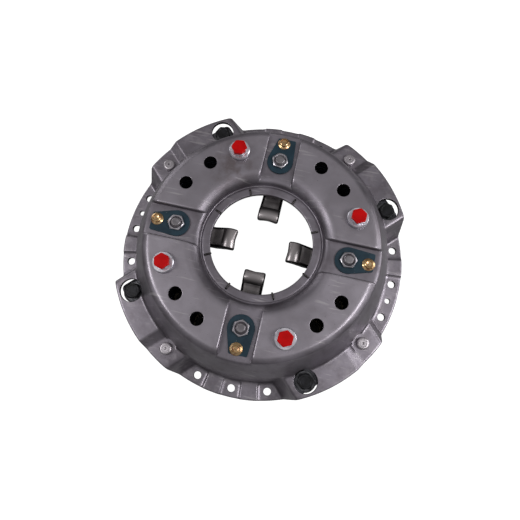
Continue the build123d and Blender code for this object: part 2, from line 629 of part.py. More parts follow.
def build():
    save("cover", cover())
    save("pressure_plate", pressure_plate())
    for k, angle in enumerate(LEVER_ANGLES):
        number = k + 1
        save(f"release_lever_{number}", release_lever(angle))
        save(f"lever_support_{number}", lever_support(angle))
        save(f"adjusting_nut_{number}", adjusting_nut(angle, NUT_TURNS[k]))
        save(f"lock_plate_{number}", lock_plate(angle, LOCK_FLIPPED[k], NUT_TURNS[k]))
        fulcrum_pin = cross_pin(FULCRUM_R, FULCRUM_Z, FULCRUM_PIN_D, LEVER_WIDTH)
        save(f"fulcrum_pin_{number}", Rot(0, 0, angle) * fulcrum_pin)
        pin_length = LEVER_WIDTH + 2 * (EAR_GAP + EAR_T)
        lever_pin = cross_pin(lever_pin_r, lever_pin_z, LEVER_PIN_D, pin_length)
        save(f"lever_pin_{number}", Rot(0, 0, angle) * lever_pin)
        save(f"lever_return_spring_{number}", lever_return_spring(angle))
        save(f"transit_bolt_{number}", transit_bolt(angle + SPRING_ANGLES[0], TRANSIT_TURNS[k]))
        save(f"transit_washer_{number}", transit_washer(angle + SPRING_ANGLES[0]))
        save(f"drive_strap_{number}", *drive_strap(LUG_ANGLES[k]))
    spring_angles = [lever + spring for lever in LEVER_ANGLES for spring in SPRING_ANGLES]
    for number, angle in enumerate(spring_angles, 1):
        save(f"pressure_spring_{number:02d}", pressure_spring(angle))
    save("heat_washers", *[heat_washer(angle) for angle in spring_angles])
    save("lock_plate_screws", *[lock_plate_screw(a, t) for a, t in zip(LEVER_ANGLES, SCREW_TURNS)])
    save("strap_rivets", *[strap_rivet(angle) for angle in LUG_ANGLES])
    save("strap_washers", *[strap_washer(angle) for angle in LUG_ANGLES])
    save("strap_bolts", *[strap_bolt(a, t) for a, t in zip(LUG_ANGLES, STRAP_BOLT_TURNS)])


build()
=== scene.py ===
# %% [markdown]
# # A clutch cover assembly with four release levers
#
# The real object bolts to the flywheel of a lorry engine. A pressed cover holds twelve coil springs,
# which push a cast pressure plate down, and four levers pull the plate back when the pedal is pressed.
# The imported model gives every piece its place. This file gives each of them its finish, and where the
# plain solid is too crisp, a finer mesh that stands in the same place.

# %% Load the frame
import math

import bmesh
import bpy
import numpy as np
from mathutils import Matrix, Vector


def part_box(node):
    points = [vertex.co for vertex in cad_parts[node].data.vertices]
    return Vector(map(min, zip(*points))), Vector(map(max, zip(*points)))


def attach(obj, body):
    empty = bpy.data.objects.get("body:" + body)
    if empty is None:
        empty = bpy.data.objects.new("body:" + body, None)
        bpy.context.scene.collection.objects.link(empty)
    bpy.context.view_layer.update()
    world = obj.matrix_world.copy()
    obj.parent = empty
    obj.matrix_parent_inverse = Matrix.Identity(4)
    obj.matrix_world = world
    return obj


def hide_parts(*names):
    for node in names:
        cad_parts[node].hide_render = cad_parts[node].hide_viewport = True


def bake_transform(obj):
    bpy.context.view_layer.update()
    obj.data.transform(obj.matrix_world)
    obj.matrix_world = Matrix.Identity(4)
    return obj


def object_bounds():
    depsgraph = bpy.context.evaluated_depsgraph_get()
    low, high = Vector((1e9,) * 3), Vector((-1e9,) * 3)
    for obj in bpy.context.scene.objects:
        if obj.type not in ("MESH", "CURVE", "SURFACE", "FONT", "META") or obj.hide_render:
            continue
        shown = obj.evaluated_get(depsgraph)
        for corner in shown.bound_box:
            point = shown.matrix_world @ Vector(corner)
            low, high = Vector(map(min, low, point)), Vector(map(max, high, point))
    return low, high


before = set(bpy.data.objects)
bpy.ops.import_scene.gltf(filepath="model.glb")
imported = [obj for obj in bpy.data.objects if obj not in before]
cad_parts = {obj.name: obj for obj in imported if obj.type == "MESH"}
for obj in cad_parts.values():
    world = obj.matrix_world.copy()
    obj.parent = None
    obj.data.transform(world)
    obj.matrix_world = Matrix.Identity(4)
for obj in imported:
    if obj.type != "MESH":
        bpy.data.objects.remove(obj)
cad_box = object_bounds()
MM = 0.001
LEVER_ANGLES = (0, 90, 180, 270)
LUG_ANGLES = (45, 135, 225, 315)
print("nodes", len(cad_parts), "box", [round(v / MM, 1) for corner in cad_box for v in corner])

# %% [markdown]
# ## Measures
#
# The frame's boxes give most sizes: a node's box says how high it stands and how far it reaches. The
# few that a box can't tell, such as a bend's radius, are written once here in millimetres.

# %% Measures shared by several pieces
cover_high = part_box("cover")[1]
FLANGE_R, TOP_Z = cover_high.x / MM, cover_high.z / MM
SHEET = 5.0
BOLT_CIRCLE_R, BOLT_HOLE_R, BOLT_STEPS = 200.0, 5.5, (-15.0, 0.0, 15.0)
SPRING_CIRCLE_R, SPRING_HOLE_R = 132.0, 9.0
SPRING_ANGLES = (25.9, 45.0, 64.1)
SPRING_PLACES = [lever + spring for lever in LEVER_ANGLES for spring in SPRING_ANGLES]
FULCRUM_R = 117.8
FULCRUM_Z = 58.0
RECESS_Z = 90.5
SCREW_R = 144.6
ACCESS_R, ACCESS_S, ACCESS_HOLE_R = 186.6, -47.5, 16.3
RIVET_R, RIVET_S, RIVET_SHANK_R = 186.6, 47.5, 5.0
HIGH_PAD_Z = 50.0
RIVET_PAD_Z = 40.6
LEVER_WIDTH, LEVER_CREASE_R = 29.4, 54.4
print("flange radius", round(FLANGE_R, 1), "top", round(TOP_Z, 1))

# %% [markdown]
# ## Helpers for meshes
#
# Most pieces here are turned, drawn or forged, so one idea makes nearly all of them: rings of points,
# skinned one after the other. A lathe shape is a stack of circles, a bolt head a stack of circles that
# a hexagon trims, and a lever a row of rounded sections. Points are in millimetres until the last step.


# %% Rings and shells
def turned(points, angle):
    """Turns points about the Z axis, by degrees."""
    c, s = math.cos(math.radians(angle)), math.sin(math.radians(angle))
    x, y, z = np.asarray(points, float).T
    return np.column_stack((c * x - s * y, s * x + c * y, z))


def placed(shell, r, angle, s=0.0, turn=0.0, z=0.0):
    """Turns a shell about its own axis, then moves it r along and s across a direction, and up by z."""
    points, faces = shell
    return turned(turned(points, turn) + (r, s, z), angle), faces


def loft(rings, closed=False):
    """Skins rings of points. The ends close to a point each, or the last ring meets the first."""
    rings = [np.asarray(ring, float) for ring in rings]
    count = len(rings[0])
    if closed:
        rings = [*rings, rings[0]]
    else:
        ends = [np.tile(ring.mean(0), (count, 1)) for ring in (rings[0], rings[-1])]
        rings = [ends[0], *rings, ends[1]]
    faces = []
    for row in range(len(rings) - 1):
        for i in range(count):
            a, b = row * count + i, row * count + (i + 1) % count
            faces.append((a, b, b + count, a + count))
    return np.concatenate(rings), faces


def even_angles(sides):
    return np.arange(sides) * 2 * math.pi / sides


def circle(reach, z, sides):
    """A ring round the Z axis. Its reach and its height may change with the angle."""
    angle = even_angles(sides)
    return np.column_stack((reach * np.cos(angle), reach * np.sin(angle), np.broadcast_to(z, sides)))


def circles(profile, sides):
    """One ring for each (radius, height) of a profile."""
    return [circle(radius, height, sides) for radius, height in profile]


def lathe(profile, sides=48, closed=False):
    """Spins a profile into a shell."""
    return loft(circles(profile, sides), closed)


# %% Shells into objects
def linked(name, data):
    """A new object in the scene, with its mesh, lamp or camera."""
    thing = bpy.data.objects.new(name, data)
    bpy.context.scene.collection.objects.link(thing)
    return thing


def make_piece(name, shells, material, smooth=38):
    """One object from closed shells in millimetres, with its normals outwards and soft bends smooth."""
    mesh = bpy.data.meshes.new(name)
    points, faces = [], []
    for shell_points, shell_faces in shells:
        start = sum(len(p) for p in points)
        points.append(shell_points)
        faces += [tuple(start + i for i in face) for face in shell_faces]
    mesh.from_pydata((np.concatenate(points) * MM).tolist(), [], faces)
    piece = linked(name, mesh)
    clean(piece, smooth)
    piece.data.materials.append(material)
    return piece


def clean(piece, smooth, merge=0.002 * MM):
    """Merges doubles, points the faces outwards, and keeps edges sharper than an angle crisp."""
    bm = bmesh.new()
    bm.from_mesh(piece.data)
    bmesh.ops.remove_doubles(bm, verts=bm.verts, dist=merge)
    bmesh.ops.dissolve_degenerate(bm, edges=bm.edges, dist=merge)
    bmesh.ops.recalc_face_normals(bm, faces=bm.faces)
    bm.to_mesh(piece.data)
    bm.free()
    piece.data.shade_smooth()
    piece.data.set_sharp_from_angle(angle=math.radians(smooth))


def boolean(piece, shells, operation, smooth=38):
    """Cuts closed shells out of a piece, or joins them to it, and leaves a plain mesh."""
    tool = make_piece("tool", shells, piece.data.materials[0])
    modifier = piece.modifiers.new("boolean", "BOOLEAN")
    modifier.operation = operation
    modifier.solver = "MANIFOLD"
    modifier.object = tool
    evaluated = piece.evaluated_get(bpy.context.evaluated_depsgraph_get())
    mesh = bpy.data.meshes.new_from_object(evaluated)
    piece.modifiers.clear()
    piece.data = mesh
    bpy.data.objects.remove(tool)
    clean(piece, smooth)


def show(piece, body, slot, *nodes):
    """Says which body carries a piece and which solids it stands for. The slot is not used."""
    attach(piece, body)
    if nodes:
        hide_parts(*nodes)
    print(piece.name, "on", body, "-", len(piece.data.polygons), "faces")


# %% [markdown]
# ## Helpers for finishes
#
# Bare metal is never one even grey. Oil, handling and the rolling of the sheet leave slow changes of
# tone, and the surface grain spreads the light. So each finish mixes two or three tones with a slow
# noise, and drives roughness and a shallow bump with a fast one. Everything reads Object coordinates,
# which stay with the piece when it moves.


# %% Colours and node shortcuts
def tone(red, green, blue):
    """A colour from its screen values, 0 to 255, as Blender's linear red, green, blue and alpha."""
    linear = [((c / 255 + 0.055) / 1.055) ** 2.4 if c > 10 else c / 255 / 12.92 for c in (red, green, blue)]
    return (*linear, 1.0)


class Finish:
    """A material under construction, with short ways to add and join its nodes."""

    def __init__(self, name, metallic, roughness):
        self.material = bpy.data.materials.new(name)
        self.material.use_nodes = True
        self.tree = self.material.node_tree
        self.shader = self.tree.nodes["Principled BSDF"]
        self.shader.inputs["Metallic"].default_value = metallic
        self.shader.inputs["Roughness"].default_value = roughness
        self.place = self.add("ShaderNodeTexCoord").outputs["Object"]

    def add(self, kind, **settings):
        node = self.tree.nodes.new(kind)
        for key, value in settings.items():
            setattr(node, key, value)
        return node

    def plug(self, value, socket):
        """Links an output to a socket, or sets the socket to a plain value."""
        if isinstance(value, bpy.types.NodeSocket):
            self.tree.links.new(value, socket)
        else:
            socket.default_value = value

    def noise(self, scale, detail=3.0, stretch=None, lumpy=0.5):
        """Clouds of a size in the object's own coordinates; stretch squeezes them along X, Y and Z."""
        vector = self.place
        if stretch:
            mapping = self.add("ShaderNodeMapping")
            mapping.inputs["Scale"].default_value = stretch
            self.plug(self.place, mapping.inputs["Vector"])
            vector = mapping.outputs["Vector"]
        node = self.add("ShaderNodeTexNoise")
        self.plug(vector, node.inputs["Vector"])
        node.inputs["Scale"].default_value = scale
        node.inputs["Detail"].default_value = detail
        node.inputs["Roughness"].default_value = lumpy
        return node.outputs["Fac"]

    def span(self, value, low, high, to_low=0.0, to_high=1.0):
        """Maps a range of a value to another range, with both ends held."""
        node = self.add("ShaderNodeMapRange")
        self.plug(value, node.inputs["Value"])
        for key, number in (("From Min", low), ("From Max", high), ("To Min", to_low), ("To Max", to_high)):
            node.inputs[key].default_value = number
        return node.outputs["Result"]

    def math(self, operation, first, second=0.0):
        node = self.add("ShaderNodeMath", operation=operation)
        self.plug(first, node.inputs[0])
        self.plug(second, node.inputs[1])
        return node.outputs[0]

    def mix(self, share, first, second):
        """A colour between two, by a share from 0 to 1."""
        node = self.add("ShaderNodeMix", data_type="RGBA")
        self.plug(share, node.inputs[0])
        self.plug(first, node.inputs[6])
        self.plug(second, node.inputs[7])
        return node.outputs[2]

    def axes(self):
        """The three coordinates of a point, in metres. The last is its height above the flywheel face."""
        node = self.add("ShaderNodeSeparateXYZ")
        self.plug(self.place, node.inputs[0])
        return node.outputs

    def distance(self, centre, flat=False):
        """Distance in metres from a point, or from an upright line through it."""
        node = self.add("ShaderNodeVectorMath", operation="DISTANCE")
        vector = self.place
        if flat:
            flatten = self.add("ShaderNodeVectorMath", operation="MULTIPLY")
            self.plug(self.place, flatten.inputs[0])
            flatten.inputs[1].default_value = (1.0, 1.0, 0.0)
            vector = flatten.outputs["Vector"]
        self.plug(vector, node.inputs[0])
        node.inputs[1].default_value = centre
        return node.outputs["Value"]

    def dress(self, colour, roughness=None, bump=None, strength=0.2, depth=0.1):
        """Joins colour, roughness and bump to the shader, and gives back the material."""
        self.plug(colour, self.shader.inputs["Base Color"])
        if roughness is not None:
            self.plug(roughness, self.shader.inputs["Roughness"])
        if bump is not None:
            node = self.add("ShaderNodeBump")
            node.inputs["Strength"].default_value = strength
            node.inputs["Distance"].default_value = depth * MM
            self.plug(bump, node.inputs["Height"])
            self.plug(node.outputs["Normal"], self.shader.inputs["Normal"])
        return self.material


def grained(name, dark, light, metallic, rough, slow=14, fast=900, strength=0.15, depth=0.08):
    """A plain metal: two tones in slow clouds, a fine grain in roughness and bump."""
    finish = Finish(name, metallic, rough[0])
    clouds = finish.span(finish.noise(slow, 4), 0.35, 0.65)
    grain = finish.noise(fast, 2)
    roughness = finish.span(grain, 0.3, 0.7, *rough)
    return finish.dress(finish.mix(clouds, dark, light), roughness, grain, strength, depth)


# %% [markdown]
# ## The finishes
#
# The cover is oiled, phosphated sheet: grey with a purple cast, darker where oil has dried, with a few
# fine scratches. Its colour also carries painted shade on the walls of its holes, a painted sheen on its
# top and part of a painted highlight on its lugs. The lock plates are painted, the screws are zinc with a
# yellow passivate, whose thin film shows faint rainbow tints, and the shipping bolts had their heads
# dabbed with red paint.


# %% Cover steel
STAIN_PLACE = (-0.062, 0.098, 0.097)
# Heights over which a painted sheen lightens the top face.
TOP_SHEEN_Z = (95.0 * MM, 97.0 * MM)
# Heights below which lighter patches show on the lugs and flange: wear, and partly a painted highlight.
WEAR_AND_HIGHLIGHT_Z, WEAR_AND_HIGHLIGHT_RAGGED = (56.0 * MM, 51.0 * MM), 9.0 * MM
# How far past a hole's edge its painted shade reaches.
HOLE_SHADE_REACH = (0.1 * MM, 0.3 * MM)


def hole_wall_shade(finish):
    """One on the walls of the punched holes, where their shade is painted on, and zero elsewhere."""
    holes = [(SPRING_CIRCLE_R, 0.0, angle, SPRING_HOLE_R) for angle in SPRING_PLACES]
    holes += [(ACCESS_R, ACCESS_S, lug, ACCESS_HOLE_R) for lug in LUG_ANGLES]
    holes += [(BOLT_CIRCLE_R, 0.0, lever + step, BOLT_HOLE_R)
              for lever in LEVER_ANGLES for step in BOLT_STEPS]
    nearest = 1.0
    for r, s, angle, radius in holes:
        x, y, _ = turned([(r, s, 0.0)], angle)[0] * MM
        gap = finish.math("SUBTRACT", finish.distance((x, y, 0.0), flat=True), radius * MM)
        nearest = finish.math("MINIMUM", gap, nearest)
    return finish.span(nearest, *HOLE_SHADE_REACH, 1.0, 0.0)


def cover_steel():
    """From below upwards: clouds, mottle, a painted sheen on the top, an old stain, specks, scratches,
    worn lugs that carry part of a painted highlight, and painted shade on the walls of the holes.
    """
    finish = Finish("oiled_cover_steel", 0.85, 0.42)
    height = finish.axes()["Z"]
    clouds = finish.span(finish.noise(9, 4, lumpy=0.55), 0.34, 0.66)
    colour = finish.mix(clouds, tone(114, 109, 116), tone(140, 134, 143))
    mottle = finish.span(finish.noise(60, 5, lumpy=0.62), 0.45, 0.7, 0.0, 0.45)
    colour = finish.mix(mottle, colour, tone(94, 86, 91))
    # Painted sheen: the top face is lighter by its height alone.
    top_sheen = finish.span(height, *TOP_SHEEN_Z, 0.0, 0.4)
    colour = finish.mix(top_sheen, colour, tone(166, 160, 168))
    stain = finish.span(finish.distance(STAIN_PLACE), 0.012, 0.045, 0.6, 0.0)
    ragged = finish.span(finish.noise(70, 4), 0.4, 0.62)
    colour = finish.mix(finish.math("MULTIPLY", stain, ragged), colour, tone(92, 80, 78))
    specks = finish.span(finish.noise(420, 2), 0.71, 0.76, 0.0, 0.5)
    colour = finish.mix(specks, colour, tone(60, 50, 48))
    scratch = finish.span(finish.noise(26, 2, stretch=(1.0, 12.0, 1.0)), 0.62, 0.68)
    where = finish.span(finish.noise(18, 3), 0.46, 0.56)
    scratch = finish.math("MULTIPLY", scratch, where)
    colour = finish.mix(finish.math("MULTIPLY", scratch, 0.4), colour, tone(190, 186, 188))
    # Lighter patches low down: real wear, and partly a painted highlight on the lug pads.
    edge = finish.span(finish.noise(48, 4), 0.3, 0.7, -WEAR_AND_HIGHLIGHT_RAGGED, WEAR_AND_HIGHLIGHT_RAGGED)
    wear_and_highlight = finish.span(finish.math("ADD", height, edge), *WEAR_AND_HIGHLIGHT_Z)
    wear_and_highlight_patches = finish.span(finish.noise(75, 5, stretch=(1.0, 1.0, 2.0), lumpy=0.62), 0.5, 0.62, 0.0, 0.5)
    colour = finish.mix(finish.math("MULTIPLY", wear_and_highlight, wear_and_highlight_patches), colour, tone(150, 144, 150))
    grain = finish.noise(700, 2)
    roughness = finish.span(finish.noise(35, 4), 0.3, 0.7, 0.32, 0.48)
    # Painted shade: the walls of the punched holes go near black, dull and not metallic.
    hole = hole_wall_shade(finish)
    finish.plug(finish.span(hole, 0.0, 1.0, 0.85, 0.0), finish.shader.inputs["Metallic"])
    finish.plug(finish.span(hole, 0.0, 1.0, 0.5, 0.0), finish.shader.inputs["Specular IOR Level"])
    return finish.dress(finish.mix(hole, colour, tone(14, 13, 14)), roughness, grain, 0.12, 0.06)


COVER_STEEL = cover_steel()
print("made", COVER_STEEL.name)


# %% Painted and plated finishes
def lock_paint():
    finish = Finish("lock_plate_paint", 0.0, 0.4)
    finish.shader.inputs["Specular IOR Level"].default_value = 0.25
    clouds = finish.span(finish.noise(60, 4), 0.35, 0.65)
    colour = finish.mix(clouds, tone(24, 42, 53), tone(32, 54, 66))
    chips = finish.span(finish.noise(300, 3), 0.7, 0.74)
    colour = finish.mix(chips, colour, tone(84, 92, 98))
    return finish.dress(colour, finish.span(finish.noise(200, 2), 0.3, 0.7, 0.32, 0.5),
                        finish.noise(500, 2), 0.1, 0.05)


def yellow_zinc():
    finish = Finish("yellow_zinc", 0.95, 0.25)
    clouds = finish.span(finish.noise(130, 3), 0.35, 0.65)
    colour = finish.mix(clouds, tone(178, 144, 98), tone(214, 184, 142))
    tint = finish.span(finish.noise(210, 2, stretch=(1.0, 1.4, 0.7)), 0.5, 0.68)
    colour = finish.mix(tint, colour, tone(150, 106, 82))
    return finish.dress(colour, finish.span(finish.noise(300, 2), 0.3, 0.7, 0.18, 0.34),
                        finish.noise(900, 2), 0.08, 0.04)


def red_dabbed():
    """Bright zinc, with paint down to a ragged edge about 4 mm below the top of the head."""
    finish = Finish("red_dabbed_zinc", 0.9, 0.3)
    zinc = finish.mix(finish.noise(300, 3), tone(186, 184, 190), tone(226, 226, 230))
    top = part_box("transit_bolt_1")[1].z
    ragged = finish.span(finish.noise(170, 3), 0.3, 0.7, -3.4 * MM, 3.4 * MM)
    edge = finish.math("ADD", finish.axes()["Z"], ragged)
    paint = finish.span(edge, top - 4.4 * MM, top - 4.0 * MM)
    red = finish.mix(finish.span(finish.noise(90, 2), 0.4, 0.6), tone(170, 0, 2), tone(186, 2, 4))
    finish.plug(finish.span(paint, 0.0, 1.0, 0.95, 0.0), finish.shader.inputs["Metallic"])
    finish.plug(finish.span(paint, 0.0, 1.0, 0.5, 0.12), finish.shader.inputs["Specular IOR Level"])
    roughness = finish.span(paint, 0.0, 1.0, 0.28, 0.42)
    return finish.dress(finish.mix(paint, zinc, red), roughness, paint, 0.3, 0.12)


LOCK_PAINT = lock_paint()
YELLOW_ZINC = yellow_zinc()
RED_DABBED = red_dabbed()
print("made", LOCK_PAINT.name, YELLOW_ZINC.name, RED_DABBED.name)


# %% Lever, fastener and casting finishes
def lever_steel():
    """Dark forging scale, with painted shade along the side edges, the tip's end and the crease, a ground
    panel on the shank, and a tip that the bearing has polished.

    The levers lie along X and Y, so the larger of |x| and |y| runs along a lever and the smaller across.
    """
    finish = Finish("forged_lever_steel", 0.75, 0.4)
    place = finish.axes()
    x, y = (finish.math("ABSOLUTE", place[axis]) for axis in ("X", "Y"))
    along, across = finish.math("MAXIMUM", x, y), finish.math("MINIMUM", x, y)
    crease_place = LEVER_CREASE_R * MM
    clouds = finish.span(finish.noise(55, 4), 0.35, 0.65)
    panel = finish.mix(clouds, tone(136, 130, 131), tone(186, 180, 181))
    tip = finish.span(along, crease_place, crease_place + 0.2 * MM, 1.0, 0.0)
    polished = finish.mix(finish.span(along, 44 * MM, 53 * MM), tone(156, 150, 151), tone(74, 70, 71))
    colour = finish.mix(tip, panel, polished)
    # Dark scale on the sides, plus painted shade: the side edges, the tip's end edge and the crease go near
    # black.
    widening = finish.span(tip, 0.0, 1.0, 0.0, 1.8 * MM)
    side = finish.span(finish.math("SUBTRACT", across, widening), 10.6 * MM, 11.8 * MM)
    end_edge_shade = finish.span(along, 37.2 * MM, 38.2 * MM, 0.7, 0.0)
    from_crease = finish.math("ABSOLUTE", finish.math("SUBTRACT", along, crease_place + 0.8 * MM))
    crease = finish.span(from_crease, 0.4 * MM, 1.0 * MM, 1.0, 0.0)
    scale = finish.math("MAXIMUM", finish.math("MAXIMUM", side, end_edge_shade), crease)
    colour = finish.mix(scale, colour, tone(30, 28, 29))
    roughness = finish.span(tip, 0.0, 1.0, 0.42, 0.3)
    return finish.dress(colour, roughness, finish.noise(420, 3), 0.16, 0.07)


LEVER_STEEL = lever_steel()
NUT_STEEL = grained("bright_nut_steel", tone(150, 146, 152), tone(196, 192, 198), 0.95, (0.24, 0.4), 90)
STUD_STEEL = grained("stud_steel", tone(118, 114, 118), tone(150, 146, 150), 0.95, (0.34, 0.48), 90)
RIVET_STEEL = grained("rivet_steel", tone(168, 162, 167), tone(192, 186, 191), 0.9, (0.34, 0.46), 80)
BLACK_OXIDE = grained("black_oxide", tone(20, 20, 22), tone(38, 38, 42), 0.6, (0.3, 0.42), 120)
WASHER_STEEL = grained("washer_steel", tone(60, 60, 64), tone(120, 120, 124), 0.9, (0.3, 0.45), 150)
BRIGHT_ZINC = grained("bright_zinc", tone(196, 192, 202), tone(228, 226, 234), 0.95, (0.26, 0.4), 120)
WIRE_STEEL = grained("wire_steel", tone(44, 42, 42), tone(84, 80, 80), 0.9, (0.3, 0.4), 120)
SPRING_STEEL = grained("blued_spring_steel", tone(34, 36, 46), tone(58, 60, 74), 0.85, (0.32, 0.45), 60)
STRAP_STEEL = grained("strap_steel", tone(92, 92, 98), tone(128, 128, 134), 0.95, (0.28, 0.4), 60)
PIN_STEEL = grained("ground_pin_steel", tone(130, 130, 134), tone(166, 166, 170), 0.95, (0.22, 0.34), 80)
HEAT_WASHER = grained("heat_washer_fibre", tone(142, 130, 112), tone(166, 154, 134), 0.0, (0.7, 0.85), 200)
CAST_IRON = grained("cast_iron", tone(62, 60, 60), tone(88, 85, 84), 0.75, (0.5, 0.7), 30, 500, 0.4, 0.25)
print("made", len(bpy.data.materials), "finishes")

# %% [markdown]
# ## The cover
#
# The cover is one pressing, so no bend on it is crisp. Filleting a solid edge by edge is slow and easy
# to break. Instead the outside is written as a rule: each cone and flat of the die is a half space with
# a signed distance, and a smooth minimum or maximum joins them, which rounds every bend by itself. The
# height where the rule is zero is the outer skin. The height where it is minus the sheet's thickness is
# the inner skin, so the wall is even everywhere. Bisection finds both heights.

# %% The die as signed distances
WALL = ((187.0, 5.0), (179.5, 52.5), (159.7, 93.4), (152.0, 97.4), (97.0, 97.4), (87.0, 90.5), (82.5, 82.6))
WALL_BENDS = (28.0, 7.0, 9.0, 20.0, 20.0)
BASE_BEND, COLLAR_BLEND = 6.0, 2.2
OPENING = (70.1, 82.6)
GROOVE_R, GROOVE_Z, GROOVE_WIRE, GROOVE_BLEND = 82.4, 83.2, 1.7, 0.4
HIGH_LUG = ((87.1, 0.0), (71.9, 40.6), (33.3, 40.6), (20.3, 50.0), (-70.9, 50.0), (-87.8, 0.0))
LUG_BLEND, LUG_CREASE, LUG_FILLET = 5.0, 0.8, 4.0
RECESS_HALF, RECESS_FROM_R, RECESS_BEND = 21.8, 78.0, 3.6
POCKET_R, POCKET_BEND = 14.8, 3.0
EMBOSS_Z, EMBOSS_HALF, EMBOSS_MIDDLE, EMBOSS_LEAN, EMBOSS_BEND, EMBOSS_CORNER = 7.2, 3.25, 7.45, 0.9, 1.0, 5.0
EMBOSS_ANGLES = [a + EMBOSS_MIDDLE for a in LEVER_ANGLES] + [90 - EMBOSS_MIDDLE, 270 - EMBOSS_MIDDLE]


def beyond(u, z, a, b):
    """Distance of (u, z) outside the line from a to b, with the material on its left."""
    du, dz = b[0] - a[0], b[1] - a[1]
    return (dz * (u - a[0]) - du * (z - a[1])) / math.hypot(du, dz)


def smooth_max(a, b, k):
    """The larger of two distances, blended where they differ by less than k."""
    h = np.clip(0.5 + 0.5 * (a - b) / k, 0.0, 1.0)
    return b + (a - b) * h + k * h * (1.0 - h)


def smooth_min(a, b, k):
    return -smooth_max(-a, -b, k)


def blend_for(bend, a, b, c):
    """The blend width that rounds the corner at b with a bend radius."""
    turn = math.atan2(c[1] - b[1], c[0] - b[0]) - math.atan2(b[1] - a[1], b[0] - a[0])
    return bend * (1.0 - math.cos(turn))


def dome_distance(r, z):
    """The wall, the plateau, the ring round the opening with its groove, and the flange."""
    distance = beyond(r, z, WALL[0], WALL[1])
    for i, bend in enumerate(WALL_BENDS):
        a, b, c = WALL[i], WALL[i + 1], WALL[i + 2]
        distance = smooth_max(distance, beyond(r, z, b, c), blend_for(bend, a, b, c))
    ring = np.maximum(z - OPENING[1], r - WALL[4][0])
    distance = smooth_min(distance, ring, COLLAR_BLEND)
    groove = np.hypot(r - GROOVE_R, z - GROOVE_Z) - GROOVE_WIRE
    distance = smooth_max(distance, -groove, GROOVE_BLEND)
    return smooth_min(distance, z - SHEET, BASE_BEND)


def lug_distance(s, z):
    """A lug across its direction: a low end for the rivet, a step, and a high end for the strap bolt."""
    foot, ramp, step, high, start = HIGH_LUG[:2], HIGH_LUG[1:3], HIGH_LUG[2:4], HIGH_LUG[3:5], HIGH_LUG[4:]
    end_plane = beyond(s, z, *foot)
    low = smooth_max(end_plane, beyond(s, z, *ramp), LUG_BLEND)
    low = np.maximum(low, -s)
    tall = smooth_max(beyond(s, z, *step), beyond(s, z, *high), LUG_CREASE)
    tall = smooth_max(tall, beyond(s, z, *start), LUG_BLEND)
    return smooth_min(low, np.maximum(tall, end_plane), LUG_CREASE)


# %% The whole die and its height
def folded(angle, directions):
    """The angle from the nearest of four even directions, in radians."""
    quarter = math.pi / 2
    return (angle - math.radians(directions[0]) + quarter / 2) % quarter - quarter / 2


def raised_zones(r, angle, z):
    """The six sectors of the flange that stand a little higher than the bolted pads."""
    distance = np.full(r.shape, 1000.0)
    for middle in EMBOSS_ANGLES:
        off = np.abs((angle - math.radians(middle) + math.pi) % (2 * math.pi) - math.pi)
        side = (off - math.radians(EMBOSS_HALF)) * BOLT_CIRCLE_R * EMBOSS_LEAN
        raised = smooth_max(smooth_max(z - EMBOSS_Z, side, EMBOSS_BEND), WALL[1][0] - r, EMBOSS_BEND)
        distance = np.minimum(distance, raised)
    return distance


def die_distance(r, angle, z, level):
    """Signed distance from the outer skin of the pressing, negative inside it."""
    distance = smooth_min(dome_distance(r, z), raised_zones(r, angle, z), EMBOSS_CORNER)
    lug = folded(angle, LUG_ANGLES)
    along, across = r * np.cos(lug), r * np.sin(lug)
    distance = smooth_min(distance, lug_distance(across, z), LUG_FILLET)
    if level < 0.0:
        pocket = np.maximum(np.hypot(along - RIVET_R, across - RIVET_S) - POCKET_R, RIVET_PAD_Z - z)
        distance = smooth_max(distance, -pocket, POCKET_BEND)
    lever = folded(angle, LEVER_ANGLES)
    along, across = r * np.cos(lever), r * np.sin(lever)
    recess = np.maximum.reduce([RECESS_Z - z, np.abs(across) - RECESS_HALF, RECESS_FROM_R - along])
    return smooth_max(distance, -recess, RECESS_BEND)


def skin_height(r, angle, level):
    """Height at which the die's distance passes a level, by halving the range."""
    low, high = np.full(r.shape, -10.0), np.full(r.shape, TOP_Z + 10.0)
    for _ in range(26):
        middle = (low + high) / 2
        inside = die_distance(r, angle, middle, level) < level
        low, high = np.where(inside, middle, low), np.where(inside, high, middle)
    return (low + high) / 2


# %% [markdown]
# A mesh shows a bend crisply only where its lines run along the bend. The wall's bends are circles, so
# rings suit them. The sides of the recesses and of the lugs are straight and parallel, so the spokes are
# sheared there: each keeps its distance from the middle of the recess or the lug instead of its angle.

# %% Rings and sheared spokes
COVER_SPOKES = 640
OUTER_RINGS, INNER_RINGS = 104, 24
EDGE_BEVEL = 0.5
CREASE_ANGLES = [math.degrees(math.asin(s / BOLT_CIRCLE_R)) for s, _ in HIGH_LUG]
CLOSE_TO_LEVER = ((9.65, 0.7), (4.2, 0.5), (10.7, 0.5))
# Directions, radius where a spoke is true, angles it holds and fades out at, radii it fades in between.
SHEARS = ((LEVER_ANGLES, 130.0, 11.5, 45.0, 172.0, 156.0), (LUG_ANGLES, 200.0, 27.5, 34.0, 166.0, 178.0))


def even_steps(density, low, high, count):
    """Places between two ends, closer together where the density is high."""
    fine = np.linspace(low, high, 6000)
    total = np.cumsum(density(fine))
    return np.interp(np.linspace(total[0], total[-1], count), total, fine)


def spoke_density(spoke):
    """More spokes at the creases of the lugs, the sides of the recesses and the raised zones."""
    lug = np.degrees(folded(spoke, LUG_ANGLES))
    lever = np.abs(np.degrees(folded(spoke, LEVER_ANGLES)))
    close = np.zeros(spoke.shape, bool)
    for crease in CREASE_ANGLES:
        close |= np.abs(lug - crease) < 1.0
    for side, width in CLOSE_TO_LEVER:
        close |= np.abs(lever - side) < width
    return np.where(close, 3.0, 1.0)


